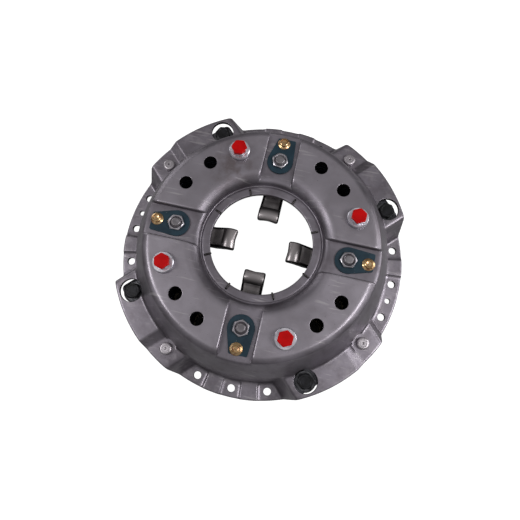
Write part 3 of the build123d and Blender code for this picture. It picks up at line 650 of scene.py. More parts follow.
def sheared(r, spoke):
    """The angle of a spoke at a radius, turned to run along recesses further in and lugs further out."""
    angle = spoke.copy()
    for directions, true_r, reach, gone, near, far in SHEARS:
        off = folded(spoke, directions)
        held = np.clip(off, -math.radians(reach), math.radians(reach))
        ratio = np.clip(true_r * np.sin(held) / r, -1.0, 1.0)
        shift = np.arcsin(ratio) - held
        fade = np.clip((gone - np.degrees(np.abs(off))) / (gone - reach), 0.0, 1.0)
        angle += shift * fade * np.clip((r - near) / (far - near), 0.0, 1.0)
    return angle


def profile_density(level):
    """Rings by the length of the wall's profile, and closer where it bends."""
    def density(r):
        z = skin_height(r, np.full(r.shape, math.radians(16.0)), level)
        slope = np.gradient(z, r)
        bend = np.abs(np.gradient(np.arctan(slope), r)) / np.hypot(1, slope)
        return np.hypot(1, slope) * (1 + 7.0 * np.minimum(bend, 0.3))
    return density


def ring_points(radii, level, step=0.0):
    """Rings of points on one skin, moved up by a step."""
    spokes = even_steps(spoke_density, 0.0, 2 * math.pi, COVER_SPOKES + 1)[:-1]
    r, spoke = np.meshgrid(radii, spokes, indexing="ij")
    angle = sheared(r, spoke)
    z = skin_height(r, angle, level) + step
    return list(np.stack((r * np.cos(angle), r * np.sin(angle), z), axis=-1))


def cover_shell():
    """Outer skin, rim, inner skin and the edge of the opening, joined into one closed band."""
    first, last = OPENING[0], FLANGE_R
    rings = []
    for level, count, edge in ((0.0, OUTER_RINGS, -EDGE_BEVEL), (-SHEET, INNER_RINGS, EDGE_BEVEL)):
        radii = even_steps(profile_density(level), first + EDGE_BEVEL, last - EDGE_BEVEL, count)
        skin = [*ring_points([first], level, edge), *ring_points(radii, level),
                *ring_points([last], level, edge)]
        rings += skin if level == 0.0 else skin[::-1]
    return loft(rings, closed=True)


cover = make_piece("cover_pressing", [cover_shell()], COVER_STEEL, smooth=50)
print("cover skin", len(cover.data.polygons), "faces")

# %% [markdown]
# Holes come last, as on the press. Each cutter is turned like a real punch: straight below, and flared
# at the top by a small radius, because a punched or drawn edge is rolled in a little. The spring holes
# have a drawn collar below, so rings are joined on before the punches go through. The pockets round the
# rivets are cut the same way, with a rounded foot.

# %% Punches
DOWEL_HOLE_R, DOWEL_ANGLES = 4.0, (-7.5, 172.5)
COLLAR_WALL, COLLAR_DEPTH = 2.4, 6.0
STUD_HOLE_R, SCREW_HOLE_R = 7.5, 4.0
WIRE_ANGLE, WIRE_HOLE_R, WIRE_HOLE_SIZE = 24.5, 78.0, 1.5
POCKET_FOOT = 1.8


def punch(radius, low, surface, roll, above=30.0, sides=40):
    """A cutter with a rounded flare where it meets the surface."""
    flare = [(radius + roll * (1 - math.cos(a)), surface - roll * (1 - math.sin(a)))
             for a in np.linspace(0.0, math.pi / 2, 5)]
    return lathe([(radius, low), *flare, (radius + roll, surface + above)], sides)


def pocket_cutter():
    """The room for the rivet tool: a flat foot with a rounded edge, and a straight side."""
    low = RIVET_PAD_Z + 0.03
    foot = [(POCKET_R - POCKET_FOOT * (1 - math.sin(a)), low + POCKET_FOOT * (1 - math.cos(a)))
            for a in np.linspace(0.0, math.pi / 2, 6)]
    return lathe([*foot, (POCKET_R, TOP_Z)], 96)


def cover_punches():
    """Every hole of the pressing. A punch starts below the sheet and ends well above it."""
    cutters = []
    for lever in LEVER_ANGLES:
        for step in BOLT_STEPS:
            cutters.append(placed(punch(BOLT_HOLE_R, -2, SHEET, 0.4, 3, 32), BOLT_CIRCLE_R, lever + step))
        for spring in SPRING_ANGLES:
            hole = punch(SPRING_HOLE_R, TOP_Z - 20, TOP_Z, 0.6, sides=64)
            cutters.append(placed(hole, SPRING_CIRCLE_R, lever + spring))
        cutters.append(placed(punch(STUD_HOLE_R, RECESS_Z - 12, RECESS_Z, 0.4, 20, 32), FULCRUM_R, lever))
        cutters.append(placed(punch(SCREW_HOLE_R, RECESS_Z - 12, RECESS_Z, 0.3, 20, 24), SCREW_R, lever))
        for side in (-WIRE_ANGLE, WIRE_ANGLE):
            hole = punch(WIRE_HOLE_SIZE, OPENING[1] - 12, OPENING[1], 0.1, 10, 16)
            cutters.append(placed(hole, WIRE_HOLE_R, lever + side))
    for angle in DOWEL_ANGLES:
        cutters.append(placed(punch(DOWEL_HOLE_R, -2, SHEET, 0.4, 3, 28), BOLT_CIRCLE_R, angle))
    for lug in LUG_ANGLES:
        access = punch(ACCESS_HOLE_R, HIGH_PAD_Z - 8, HIGH_PAD_Z, 0.5, 50, 80)
        cutters.append(placed(access, ACCESS_R, lug, ACCESS_S))
        rivet = punch(RIVET_SHANK_R, RIVET_PAD_Z - 8, RIVET_PAD_Z, 0.2, 4, 24)
        cutters.append(placed(rivet, RIVET_R, lug, RIVET_S))
    return cutters


def drawn_collars():
    """A short tube below each spring hole, wider where it meets the sheet."""
    low, high = TOP_Z - SHEET - COLLAR_DEPTH, TOP_Z - 1.5
    outer = SPRING_HOLE_R + COLLAR_WALL
    profile = [(outer - 0.6, low), (outer, low + 0.6), (outer, TOP_Z - SHEET - 1.5),
               (outer + 1.5, TOP_Z - SHEET), (outer + 1.5, high)]
    return [placed(lathe(profile, 40), SPRING_CIRCLE_R, angle) for angle in SPRING_PLACES]


boolean(cover, drawn_collars(), "UNION", smooth=50)
pockets = [placed(pocket_cutter(), RIVET_R, lug, RIVET_S) for lug in LUG_ANGLES]
boolean(cover, pockets, "DIFFERENCE", smooth=50)
boolean(cover, cover_punches(), "DIFFERENCE", smooth=50)
show(cover, "cover", "cover_steel", "cover")

# %% [markdown]
# ## The release levers
#
# A lever is a forging: a crowned, polished tip that the bearing presses, a crease, and a shank that dips
# under the collar with a sunk panel along its back. A row of rounded sections gives all of that, since
# each section only needs its top, its bottom, its width and how deep the panel is.
#
# On the real lever a fork and two pin holes are machined afterwards, and the cuts for them stand below.
# They don't take effect: the last sections pinch to a line at the outer end, so the mesh isn't a clean
# solid there, Blender warns of non-manifold inputs, and the lever stays whole. A last section with some
# height would cure it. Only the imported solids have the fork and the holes, under the cover.

# %% Lever measures
TIP_R, TIP_Z, TIP_DROP, TIP_HALF = 36.4, 75.0, 3.2, 14.9
TIP_LENGTH = LEVER_CREASE_R - TIP_R
TOP_LINE = ((LEVER_CREASE_R, 71.2), (69.0, 62.6), (76.0, 62.0), (104.0, 69.0), (117.8, 71.5), (139.7, 69.5))
UNDER_LINE = ((36.4, 63.0), (47.0, 61.0), (62.0, 52.0), (76.0, 50.0), (104.0, 47.0), (117.8, 44.5),
              (139.7, 49.5))
END_HUB_R, END_HUB_Z = 10.0, 59.5
PANEL_HALF, PANEL_DEPTH, PANEL_FROM, PANEL_TO = 11.2, 1.8, 55.4, 101.0
PANEL_SIDE, PANEL_END = 1.6, 2.5
TIP_HOLLOW, TIP_CROWN, TIP_ROUND, LEVER_CORNER = 1.8, 2.2, 2.5, 3.0
EYE_R, EYE_T, EYE_GAP = 12.0, 14.0, 0.7
FULCRUM_PIN_R, LEVER_PIN_R, LEVER_PIN_PLACE = 5.5, 5.0, (139.75, 59.5)


def lever_stations():
    """Places of the sections along a lever, closer together at the tip, the crease and the hub."""
    tip = TIP_R + np.concatenate(([0.0, 0.15, 0.4], np.linspace(0.8, TIP_LENGTH - 0.3, 24)))
    shank = np.concatenate((np.arange(LEVER_CREASE_R, 72.0, 1.2), np.arange(73.0, 139.0, 3.0)))
    end = TOP_LINE[-1][0] + END_HUB_R * np.sin(np.linspace(0.0, math.pi / 2, 9))
    return np.concatenate((tip, shank, end))


def lever_heights(u):
    """Top and bottom of the lever at a distance from the centre of the cover."""
    if u > TOP_LINE[-1][0]:
        half = math.sqrt(max(END_HUB_R ** 2 - (u - TOP_LINE[-1][0]) ** 2, 0.0))
        return END_HUB_Z + half, END_HUB_Z - half
    crown_r = (TIP_LENGTH ** 2 / 4 + TIP_DROP ** 2) / (2 * TIP_DROP)
    from_middle = min(abs(u - TIP_R - TIP_LENGTH / 2), crown_r)
    crown = TIP_Z - crown_r + math.sqrt(crown_r ** 2 - from_middle ** 2)
    line = np.interp(u, *zip(*TOP_LINE))
    top = crown if u < TIP_R + TIP_LENGTH else line
    return top, np.interp(u, *zip(*UNDER_LINE))


# %% Lever sections
def lever_section(u):
    """One ring across the lever, with rounded corners and the sunk panel in its back."""
    top, bottom = lever_heights(u)
    on_tip = u < TIP_R + TIP_LENGTH
    round_off = max(TIP_ROUND - (u - TIP_R), 0.0)
    half = TIP_HALF if on_tip else LEVER_WIDTH / 2
    half -= TIP_ROUND - math.sqrt(TIP_ROUND ** 2 - round_off ** 2)
    height = max(top - bottom, 0.02)
    corner = min(LEVER_CORNER, 0.45 * height)
    across = np.linspace(-1.0, 1.0, 17) * (half - corner)
    sunk = np.clip((PANEL_HALF - np.abs(across)) / PANEL_SIDE, 0.0, 1.0)
    along = np.clip(min(u - PANEL_FROM, PANEL_TO - u) / PANEL_END, 0.0, 1.0)
    crown = -TIP_CROWN * (across / half) ** 2 if on_tip else 0.0
    lid = top - PANEL_DEPTH * sunk * along + crown * np.ones(17)
    arc = np.linspace(0.0, math.pi / 2, 5)[1:-1]
    edge_drop = lid[-1]
    right = [(half - corner + corner * math.sin(a), edge_drop - corner + corner * math.cos(a)) for a in arc]
    right += [(half, edge_drop - corner), (half, bottom + corner)]
    right += [(half - corner + corner * math.cos(a), bottom + corner - corner * math.sin(a)) for a in arc]
    floor = [(s, bottom) for s in np.linspace(half - corner, corner - half, 7)]
    left = [(-s, z) for s, z in reversed(right)]
    outline = [*zip(across, lid), *right, *floor, *left]
    hollow = TIP_HOLLOW * math.exp(-(u - TIP_R) / 4.0)
    return np.array([(u + hollow * (1.0 - (s / half) ** 2), s, z) for s, z in outline])


def cross_bore(r, z, radius, length, sides=40):
    """A cylinder across the lever, for pins and their holes."""
    points, faces = lathe([(radius, -length / 2), (radius, length / 2)], sides)
    x, y, height = points.T
    return np.column_stack((x + r, height, y + z)), faces


def block(low, high):
    """A closed box between two corners, as a loft of two square rings."""
    (x0, y0, z0), (x1, y1, z1) = low, high
    return loft([[(x0, y0, z), (x1, y0, z), (x1, y1, z), (x0, y1, z)] for z in (z0, z1)])


# %% Four levers
slot_half = EYE_T / 2 + EYE_GAP
lever_cuts = [
    block((FULCRUM_R - EYE_R - EYE_GAP, -slot_half, 0.0), (FULCRUM_R + EYE_R + EYE_GAP, slot_half, TOP_Z)),
    cross_bore(FULCRUM_R, FULCRUM_Z, FULCRUM_PIN_R + 0.05, 2 * LEVER_WIDTH),
    cross_bore(*LEVER_PIN_PLACE, LEVER_PIN_R + 0.3, 2 * LEVER_WIDTH),
]
lever_shell = loft([lever_section(u) for u in lever_stations()])
for number, angle in enumerate(LEVER_ANGLES, 1):
    lever = make_piece(f"lever_forging_{number}", [placed(lever_shell, 0, angle)], LEVER_STEEL)
    for cut in lever_cuts:
        boolean(lever, [placed(cut, 0, angle)], "DIFFERENCE")
    show(lever, f"lever_{number}", "lever_steel", f"release_lever_{number}")

# %% [markdown]
# ## Studs, nuts and lock plates
#
# Each lever hangs from an eye bolt, whose threaded stud comes up through the cover into a nut. The nut
# sets the height of the lever tip, and a painted lock plate with a six-sided hole keeps it from turning.
# A thread is a lathe shape whose radius also depends on the angle, so that each turn climbs by a pitch.

# %% Threads and hexagons
HEX_STEP, HEX_SIDES, HEX_SLOPE = math.pi / 3, 72, 0.6


def hexagon_ring(across_flats, z, chamfer=None, swell=0.0, soften=0.985):
    """A ring that follows a hexagon, with its corners just off sharp.

    A chamfer is the share of the flats outside which the ring dips, so it dips most at the corners.
    """
    flat = across_flats / 2 / np.cos(even_angles(HEX_SIDES) % HEX_STEP - HEX_STEP / 2)
    reach = np.minimum(flat, across_flats / 2 / math.cos(HEX_STEP / 2) * soften)
    if chamfer:
        z = z - HEX_SLOPE * np.maximum(reach - chamfer * across_flats / 2, 0.0)
    return circle(reach + swell, z, HEX_SIDES)


def hexagon_head(across_flats, low, high, chamfer):
    """The foot of a hexagon head, its chamfered top edge, and the round edge of its lid."""
    return [hexagon_ring(across_flats, low), hexagon_ring(across_flats, high, chamfer),
            circle(chamfer * across_flats / 2, high, HEX_SIDES)]


def thread(radius, pitch, low, high, sides, depth=0.5):
    """Rings of a screw thread, with a lead-in at its top end."""
    angle = even_angles(sides)
    rings = []
    for z in np.linspace(low, high, int((high - low) / pitch * 6) + 1):
        wave = np.abs(2 * ((z / pitch - angle / (2 * math.pi)) % 1.0) - 1)
        lead = max(1.0 - (high - z) / pitch, 0.0)
        rings.append(circle(radius - depth * pitch * np.maximum(wave, lead), z, sides))
    return rings


# %% Lever supports
STUD_R, STUD_PITCH, STUD_CHAMFER, STUD_SIDES = 7.0, 1.5, 1.1, 40
STUD_TOP_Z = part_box("lever_support_1")[1].z / MM
THREAD_FROM_Z = 82.0
NUT_TURNS = (8, 22, 2, 0)


def stud_shell():
    """A smooth shank, a thread, and a flat end inside a chamfer."""
    rings = circles(((STUD_R, FULCRUM_Z + 4), (STUD_R, THREAD_FROM_Z - 0.8)), STUD_SIDES)
    rings += thread(STUD_R, STUD_PITCH, THREAD_FROM_Z, STUD_TOP_Z - STUD_CHAMFER, STUD_SIDES)
    end = ((0.1, 0.8 * STUD_CHAMFER), (STUD_CHAMFER, 0.05), (1.2 * STUD_CHAMFER, 0.0), (2.0, 0.0))
    rings += [circle(STUD_R - 0.7 - inset, STUD_TOP_Z - drop, STUD_SIDES) for inset, drop in end]
    return loft(rings)


def eye_shell():
    """The ring that the fulcrum pin goes through, with rounded corners, lying across the lever."""
    half, soft = EYE_T / 2, 1.2
    profile = [(FULCRUM_PIN_R, -half), (EYE_R - soft, -half), (EYE_R, soft - half), (EYE_R, half - soft),
               (EYE_R - soft, half), (FULCRUM_PIN_R, half)]
    points, faces = lathe(profile, 48, closed=True)
    x, y, height = points.T
    return np.column_stack((x, height, y + FULCRUM_Z)), faces


for number, angle in enumerate(LEVER_ANGLES, 1):
    support = make_piece(f"eye_bolt_{number}", [placed(eye_shell(), FULCRUM_R, angle)], STUD_STEEL)
    boolean(support, [placed(stud_shell(), FULCRUM_R, angle)], "UNION")
    boolean(support, [placed(cross_bore(0, FULCRUM_Z, FULCRUM_PIN_R, 2 * EYE_T), FULCRUM_R, angle)],
            "DIFFERENCE")
    show(support, "cover", "stud_steel", f"lever_support_{number}")

# %% Nuts
NUT_AF, NUT_H, NUT_MOUTH_R = 20.0, 6.4, 8.5


def nut_shell():
    """A hexagon with a countersunk mouth, and a plain bore that hides inside the thread."""
    low, high = RECESS_Z, RECESS_Z + NUT_H
    bore = STUD_R - 0.3
    mouth = [(NUT_MOUTH_R + 0.2, high), (NUT_MOUTH_R, high - 0.15), (bore, high - (NUT_MOUTH_R - bore))]
    return loft([circle(bore, low, HEX_SIDES), *hexagon_head(NUT_AF, low, high, 0.96),
                 *circles(mouth, HEX_SIDES)], closed=True)


for number, (angle, turn) in enumerate(zip(LEVER_ANGLES, NUT_TURNS), 1):
    nut = make_piece(f"hex_nut_{number}", [placed(nut_shell(), FULCRUM_R, angle, turn=turn)], NUT_STEEL, 28)
    show(nut, "cover", "nut_steel", f"adjusting_nut_{number}")

# %% Lock plates
LOCK_T, LOCK_ROUND_R, LOCK_OUT_R = 2.5, 18.0, 151.8
LOCK_WIDE, LOCK_NARROW, LOCK_CORNER = 15.8, 9.2, 2.0
LOCK_SCREW_HOLE_R = 4.4
LOCK_FLIPPED = (False, True, False, False)


def lock_outline(flipped):
    """The outline about the nut's axis: a round end, two straight sides and rounded outer corners."""
    reach = LOCK_OUT_R - FULCRUM_R
    wide, narrow = (-LOCK_WIDE, LOCK_NARROW) if flipped else (LOCK_WIDE, -LOCK_NARROW)
    upper, lower = max(wide, narrow), min(wide, narrow)
    leans = [math.atan2(s, reach) + side * math.acos(LOCK_ROUND_R / math.hypot(reach, s))
             for s, side in ((upper, 1), (lower, -1))]
    outline = [(LOCK_ROUND_R * math.cos(a), LOCK_ROUND_R * math.sin(a))
               for a in np.linspace(leans[0], leans[1] + 2 * math.pi, 40)]
    corner = LOCK_CORNER
    for s, side, start in ((lower, -1, -90), (upper, 1, 0)):
        along, across = reach - corner, s - side * corner
        outline += [(along + corner * math.cos(a), across + corner * math.sin(a))
                    for a in np.radians(np.linspace(start, start + 90, 5))]
    return np.array(outline)


def plate_shell(outline, low, high, soft):
    """A flat plate with softened edges, from an outline that runs anticlockwise."""
    ahead, behind = np.roll(outline, -1, 0), np.roll(outline, 1, 0)
    tangent = ahead - behind
    normal = np.column_stack((tangent[:, 1], -tangent[:, 0]))
    normal /= np.linalg.norm(normal, axis=1)[:, None]
    rings = []
    for inset, z in ((soft, low), (0.0, low + soft), (0.0, high - soft), (soft, high)):
        rings.append(np.column_stack((outline - inset * normal, np.full(len(outline), z))))
    return loft(rings)


for number, (angle, turn, flipped) in enumerate(zip(LEVER_ANGLES, NUT_TURNS, LOCK_FLIPPED), 1):
    shell = plate_shell(lock_outline(flipped), RECESS_Z, RECESS_Z + LOCK_T, 0.3)
    plate = make_piece(f"lock_tab_{number}", [placed(shell, FULCRUM_R, angle)], LOCK_PAINT, 35)
    below, above = RECESS_Z - 1, RECESS_Z + LOCK_T + 1
    hole = loft([hexagon_ring(NUT_AF + 0.3, z, soften=1.0) for z in (below, above)])
    screw_hole = lathe([(LOCK_SCREW_HOLE_R, below), (LOCK_SCREW_HOLE_R, above)], 24)
    boolean(plate, [placed(hole, FULCRUM_R, angle, turn=turn), placed(screw_hole, SCREW_R, angle)],
            "DIFFERENCE", smooth=35)
    show(plate, "cover", "lock_paint", f"lock_plate_{number}")

# %% [markdown]
# ## Fasteners that repeat
#
# The screws, rivets, bolts and washers each come four times. Geometry Nodes place them: a mesh of bare
# points marks the seats, each with a turn of its own, and the tree sets a copy of one fastener on each.
# The export can't carry instances, so the tree ends by making them real and giving them their finish.


# %% Helpers for Geometry Nodes
class Tree:
    """A Geometry Nodes tree under construction, with named inputs."""

    def __init__(self, name, inputs):
        self.tree = bpy.data.node_groups.new(name, "GeometryNodeTree")
        for label, kind in inputs:
            self.tree.interface.new_socket(label, in_out="INPUT", socket_type="NodeSocket" + kind)
        self.tree.interface.new_socket("Geometry", in_out="OUTPUT", socket_type="NodeSocketGeometry")
        self.inputs = self.tree.nodes.new("NodeGroupInput").outputs
        self.result = self.tree.nodes.new("NodeGroupOutput")

    def node(self, kind, inputs=(), **settings):
        """Adds a node and fills its inputs, by name or number, with outputs or plain values."""
        node = self.tree.nodes.new(kind)
        for key, value in settings.items():
            setattr(node, key, value)
        for key, value in dict(inputs).items():
            if isinstance(value, bpy.types.NodeSocket):
                self.tree.links.new(value, node.inputs[key])
            else:
                node.inputs[key].default_value = value
        return node

    def math(self, operation, first, second=0.0):
        return self.node("ShaderNodeMath", {0: first, 1: second}, operation=operation).outputs[0]

    def round_wire(self, path):
        """Skins a curve with a round section of the input called Wire Radius."""
        section = self.node("GeometryNodeCurvePrimitiveCircle", {"Resolution": 12,
                                                                 "Radius": self.inputs["Wire Radius"]})
        return self.node("GeometryNodeCurveToMesh", {"Curve": path.outputs[0], "Fill Caps": True,
                                                     "Profile Curve": section.outputs[0]})

    def finish(self, geometry):
        """Makes instances real, gives them their material, and ends the tree."""
        real = self.node("GeometryNodeRealizeInstances", {"Geometry": geometry})
        dressed = self.node("GeometryNodeSetMaterial", {"Geometry": real.outputs[0],
                                                        "Material": self.inputs["Finish"]})
        self.tree.links.new(dressed.outputs[0], self.result.inputs[0])
        return self.tree


def set_inputs(modifier, values):
    """Sets a tree's named inputs by the identifiers of their sockets."""
    for item in modifier.node_group.interface.items_tree:
        if item.in_out == "INPUT" and item.name in values:
            modifier[item.identifier] = values[item.name]


def frozen(carrier, name):
    """The evaluated result of a carrier's tree as a plain mesh object of its own."""
    evaluated = carrier.evaluated_get(bpy.context.evaluated_depsgraph_get())
    mesh = bpy.data.meshes.new_from_object(evaluated)
    bpy.data.objects.remove(carrier)
    return linked(name, mesh)


def from_tree(name, tree, values, mesh=None):
    """Runs a tree on a carrier object and keeps its result as a plain mesh."""
    carrier = linked("carrier", mesh or bpy.data.meshes.new("carrier"))
    modifier = carrier.modifiers.new("tree", "NODES")
    modifier.node_group = tree
    set_inputs(modifier, values)
    return frozen(carrier, name)


# %% The tree that seats fasteners
def seating_tree():
    t = Tree("seat_fasteners", [("Seats", "Geometry"), ("Fastener", "Object"), ("Size", "Float"),
                                ("Finish", "Material")])
    model = t.node("GeometryNodeObjectInfo", {"Object": t.inputs["Fastener"]})
    turn = t.node("GeometryNodeInputNamedAttribute", {"Name": "turn"}, data_type="FLOAT_VECTOR")
    copies = t.node("GeometryNodeInstanceOnPoints", {
        "Points": t.inputs["Seats"], "Instance": model.outputs["Geometry"],
        "Rotation": turn.outputs["Attribute"], "Scale": t.inputs["Size"]})
    return t.finish(copies.outputs["Instances"])


SEATING = seating_tree()


def seated(name, shell, seats, material, smooth=30):
    """Copies of one shell on seats of (r, s, angle, turn), as one mesh."""
    model = make_piece("model", [shell], material, smooth)
    points = [turned([(r, s, 0.0)], angle)[0] * MM for r, s, angle, turn in seats]
    mesh = bpy.data.meshes.new("seats")
    mesh.from_pydata([tuple(p) for p in points], [], [])
    turns = mesh.attributes.new("turn", "FLOAT_VECTOR", "POINT")
    for i, (r, s, angle, turn) in enumerate(seats):
        turns.data[i].vector = (0.0, 0.0, math.radians(angle + turn))
    piece = from_tree(name, SEATING, {"Fastener": model, "Size": 1.0, "Finish": material}, mesh)
    bpy.data.objects.remove(model)
    return piece


# %% Lock plate screws
SCREW_THREAD_R, SCREW_PITCH, SCREW_DEPTH = 4.0, 1.25, 12.0
SCREW_FLANGE_R, SCREW_FLANGE_T, SCREW_AF, SCREW_HEX_H = 8.5, 1.5, 10.6, 4.2
SCREW_TURNS = (20, 0, 35, 10)


def screw_shell():
    """A threaded shank, a thin round flange, a small hexagon and the dish that saves weight in it."""
    seat = RECESS_Z + LOCK_T
    foot, top = seat + SCREW_FLANGE_T, seat + SCREW_FLANGE_T + SCREW_HEX_H
    shank = thread(SCREW_THREAD_R, SCREW_PITCH, seat - SCREW_DEPTH, seat - 0.3, HEX_SIDES)
    flange = [(SCREW_FLANGE_R, seat), (SCREW_FLANGE_R, seat + 0.5), (SCREW_FLANGE_R - 0.5, seat + 0.95)]
    dish = [(4.4, top), (3.7, top - 1.5), (1.5, top - 2.2)]
    return loft([*shank, *circles(flange, HEX_SIDES), hexagon_ring(SCREW_AF, foot, swell=0.5),
                 *hexagon_head(SCREW_AF, foot + 0.4, top, 0.94), *circles(dish, HEX_SIDES)])


seats = [(SCREW_R, 0.0, angle, turn) for angle, turn in zip(LEVER_ANGLES, SCREW_TURNS)]
screws = seated("lock_screws", screw_shell(), seats, YELLOW_ZINC)
show(screws, "cover", "yellow_zinc", "lock_plate_screws")

# %% Strap rivets
RIVET_HEAD_R, RIVET_HEAD_H = 8.5, 5.8
STRAP_LOW_Z, STRAP_TOP_Z = (corner.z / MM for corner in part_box("drive_strap_1"))


def rivet_shell():
    """A flat closing head below the straps, the shank, and the upper head with its ring and dimple."""
    top = RIVET_PAD_Z + RIVET_HEAD_H
    foot = STRAP_LOW_Z - 3.0
    edge, shank = RIVET_HEAD_R, RIVET_SHANK_R
    profile = [(edge - 1.1, foot), (edge, foot + 0.9), (edge, STRAP_LOW_Z), (shank, STRAP_LOW_Z),
               (shank, RIVET_PAD_Z), (edge - 0.3, RIVET_PAD_Z), (edge, RIVET_PAD_Z + 0.5), (edge, top - 2.2),
               (edge - 0.4, top - 1.0), (edge - 1.2, top - 0.35), (edge - 2.2, top), (5.3, top),
               (5.0, top - 0.3), (4.4, top - 0.3), (4.1, top), (2.0, top), (1.5, top - 0.3), (1.3, top - 2.6)]
    return lathe(profile, 48)


seats = [(RIVET_R, RIVET_S, angle, 0) for angle in LUG_ANGLES]
rivets = seated("rivet_heads", rivet_shell(), seats, RIVET_STEEL)
show(rivets, "cover", "rivet_steel", "strap_rivets")

# %% Strap bolts and their washers
STRAP_BOLT_R, STRAP_BOLT_AF, STRAP_BOLT_HEAD_H = 7.0, 20.0, 9.0
STRAP_WASHER_R, STRAP_WASHER_T = 14.0, 2.5
STRAP_BOLT_TURNS = (12, 48, 30, 5)
STRAP_LUG_BOTTOM_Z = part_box("strap_bolts")[0].z / MM


def strap_bolt_shell():
    """A plain shank with a bevelled end, and a hexagon with a shallow dish."""
    seat, low = STRAP_TOP_Z + STRAP_WASHER_T, STRAP_LUG_BOTTOM_Z
    top = seat + STRAP_BOLT_HEAD_H
    shank = [(STRAP_BOLT_R - 0.8, low), (STRAP_BOLT_R, low + 0.8), (STRAP_BOLT_R, seat)]
    dish = [(7.4, top), (6.9, top - 0.3), (2.0, top - 0.3)]
    return loft([*circles(shank, HEX_SIDES), *hexagon_head(STRAP_BOLT_AF, seat, top, 0.93),
                 *circles(dish, HEX_SIDES)])


def washer_shell(outer, inner, low, high, soft=0.5):
    return lathe([(inner, low), (outer - soft, low), (outer, low + soft), (outer, high - soft),
                  (outer - soft, high), (inner + soft, high), (inner, high - soft)], 56, closed=True)


seats = [(ACCESS_R, ACCESS_S, angle, turn) for angle, turn in zip(LUG_ANGLES, STRAP_BOLT_TURNS)]
bolts = seated("black_bolts", strap_bolt_shell(), seats, BLACK_OXIDE, 28)
show(bolts, "plate", "black_oxide", "strap_bolts")
ring = washer_shell(STRAP_WASHER_R, STRAP_BOLT_R, STRAP_TOP_Z, STRAP_TOP_Z + STRAP_WASHER_T)
washers = seated("bolt_washers", ring, seats, WASHER_STEEL)
show(washers, "plate", "washer_steel", "strap_washers")

# %% [markdown]
# ## Shipping bolts
#
# Four bolts with red heads hold the springs compressed until the clutch is on its flywheel. They come
# out one by one, so each is a body of its own, with its thick washer.

# %% Shipping bolts and washers
TRANSIT_R, TRANSIT_PITCH, TRANSIT_AF, TRANSIT_HEAD_H = 6.0, 1.75, 19.0, 8.0
TRANSIT_FACE_R, TRANSIT_FACE_T, TRANSIT_PLAIN, TRANSIT_THREAD_END = 9.1, 0.6, 38.0, 40.0
TRANSIT_WASHER_R, TRANSIT_WASHER_T, TRANSIT_BORE_R = 14.25, 5.5, 6.5
TRANSIT_LOW_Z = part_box("transit_bolt_1")[0].z / MM
TRANSIT_TURNS = (0, 10, 20, 30)


def transit_shell():
    """A thread at the low end, a plain shank, a thin round face and a hexagon."""
    seat = TOP_Z + TRANSIT_WASHER_T
    foot, top = seat + TRANSIT_FACE_T, seat + TRANSIT_HEAD_H
    low_end = circle(TRANSIT_R - 1.4, TRANSIT_LOW_Z, HEX_SIDES)
    threads = thread(TRANSIT_R, TRANSIT_PITCH, TRANSIT_LOW_Z + 1.0, seat - TRANSIT_THREAD_END, HEX_SIDES)
    plain = [(TRANSIT_R, seat - TRANSIT_PLAIN), (TRANSIT_R, seat), (TRANSIT_FACE_R, seat),
             (TRANSIT_FACE_R, foot)]
    return loft([low_end, *threads, *circles(plain, HEX_SIDES), *hexagon_head(TRANSIT_AF, foot, top, 0.95),
                 circle(4.0, top, HEX_SIDES)])


for number, (lever, turn) in enumerate(zip(LEVER_ANGLES, TRANSIT_TURNS), 1):
    angle = lever + SPRING_ANGLES[0]
    shell = placed(transit_shell(), SPRING_CIRCLE_R, angle, turn=turn)
    bolt = make_piece(f"shipping_bolt_{number}", [shell], RED_DABBED, 28)
    show(bolt, f"transit_{number}", "transit_red", f"transit_bolt_{number}")
    shell = washer_shell(TRANSIT_WASHER_R, TRANSIT_BORE_R, TOP_Z, TOP_Z + TRANSIT_WASHER_T, 0.9)
    washer = make_piece(f"shipping_washer_{number}", [placed(shell, SPRING_CIRCLE_R, angle)], BRIGHT_ZINC)
    show(washer, f"transit_{number}", "bright_zinc", f"transit_washer_{number}")

# %% [markdown]
# ## Coil springs
#
# A pressure spring is a helix whose last turn at each end is closed and ground flat, so that it stands
# square. The rule is short, so Geometry Nodes make it: points on a line are sent round a circle, the
# climb is the middle of three straight lines, which gives the closed ends, and a clamp on the height
# after the wire is skinned grinds them flat. The springs are held between the cover and the plate.

# %% The spring tree
COIL_R, WIRE_R, TURNS, CLOSED_TURNS, STEPS_PER_TURN = 15.2, 2.8, 7.9, 0.8, 28
GROUND_SHARE = 0.45
SPRING_LOW_Z, SPRING_TOP_Z = (corner.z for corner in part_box("pressure_spring_01"))


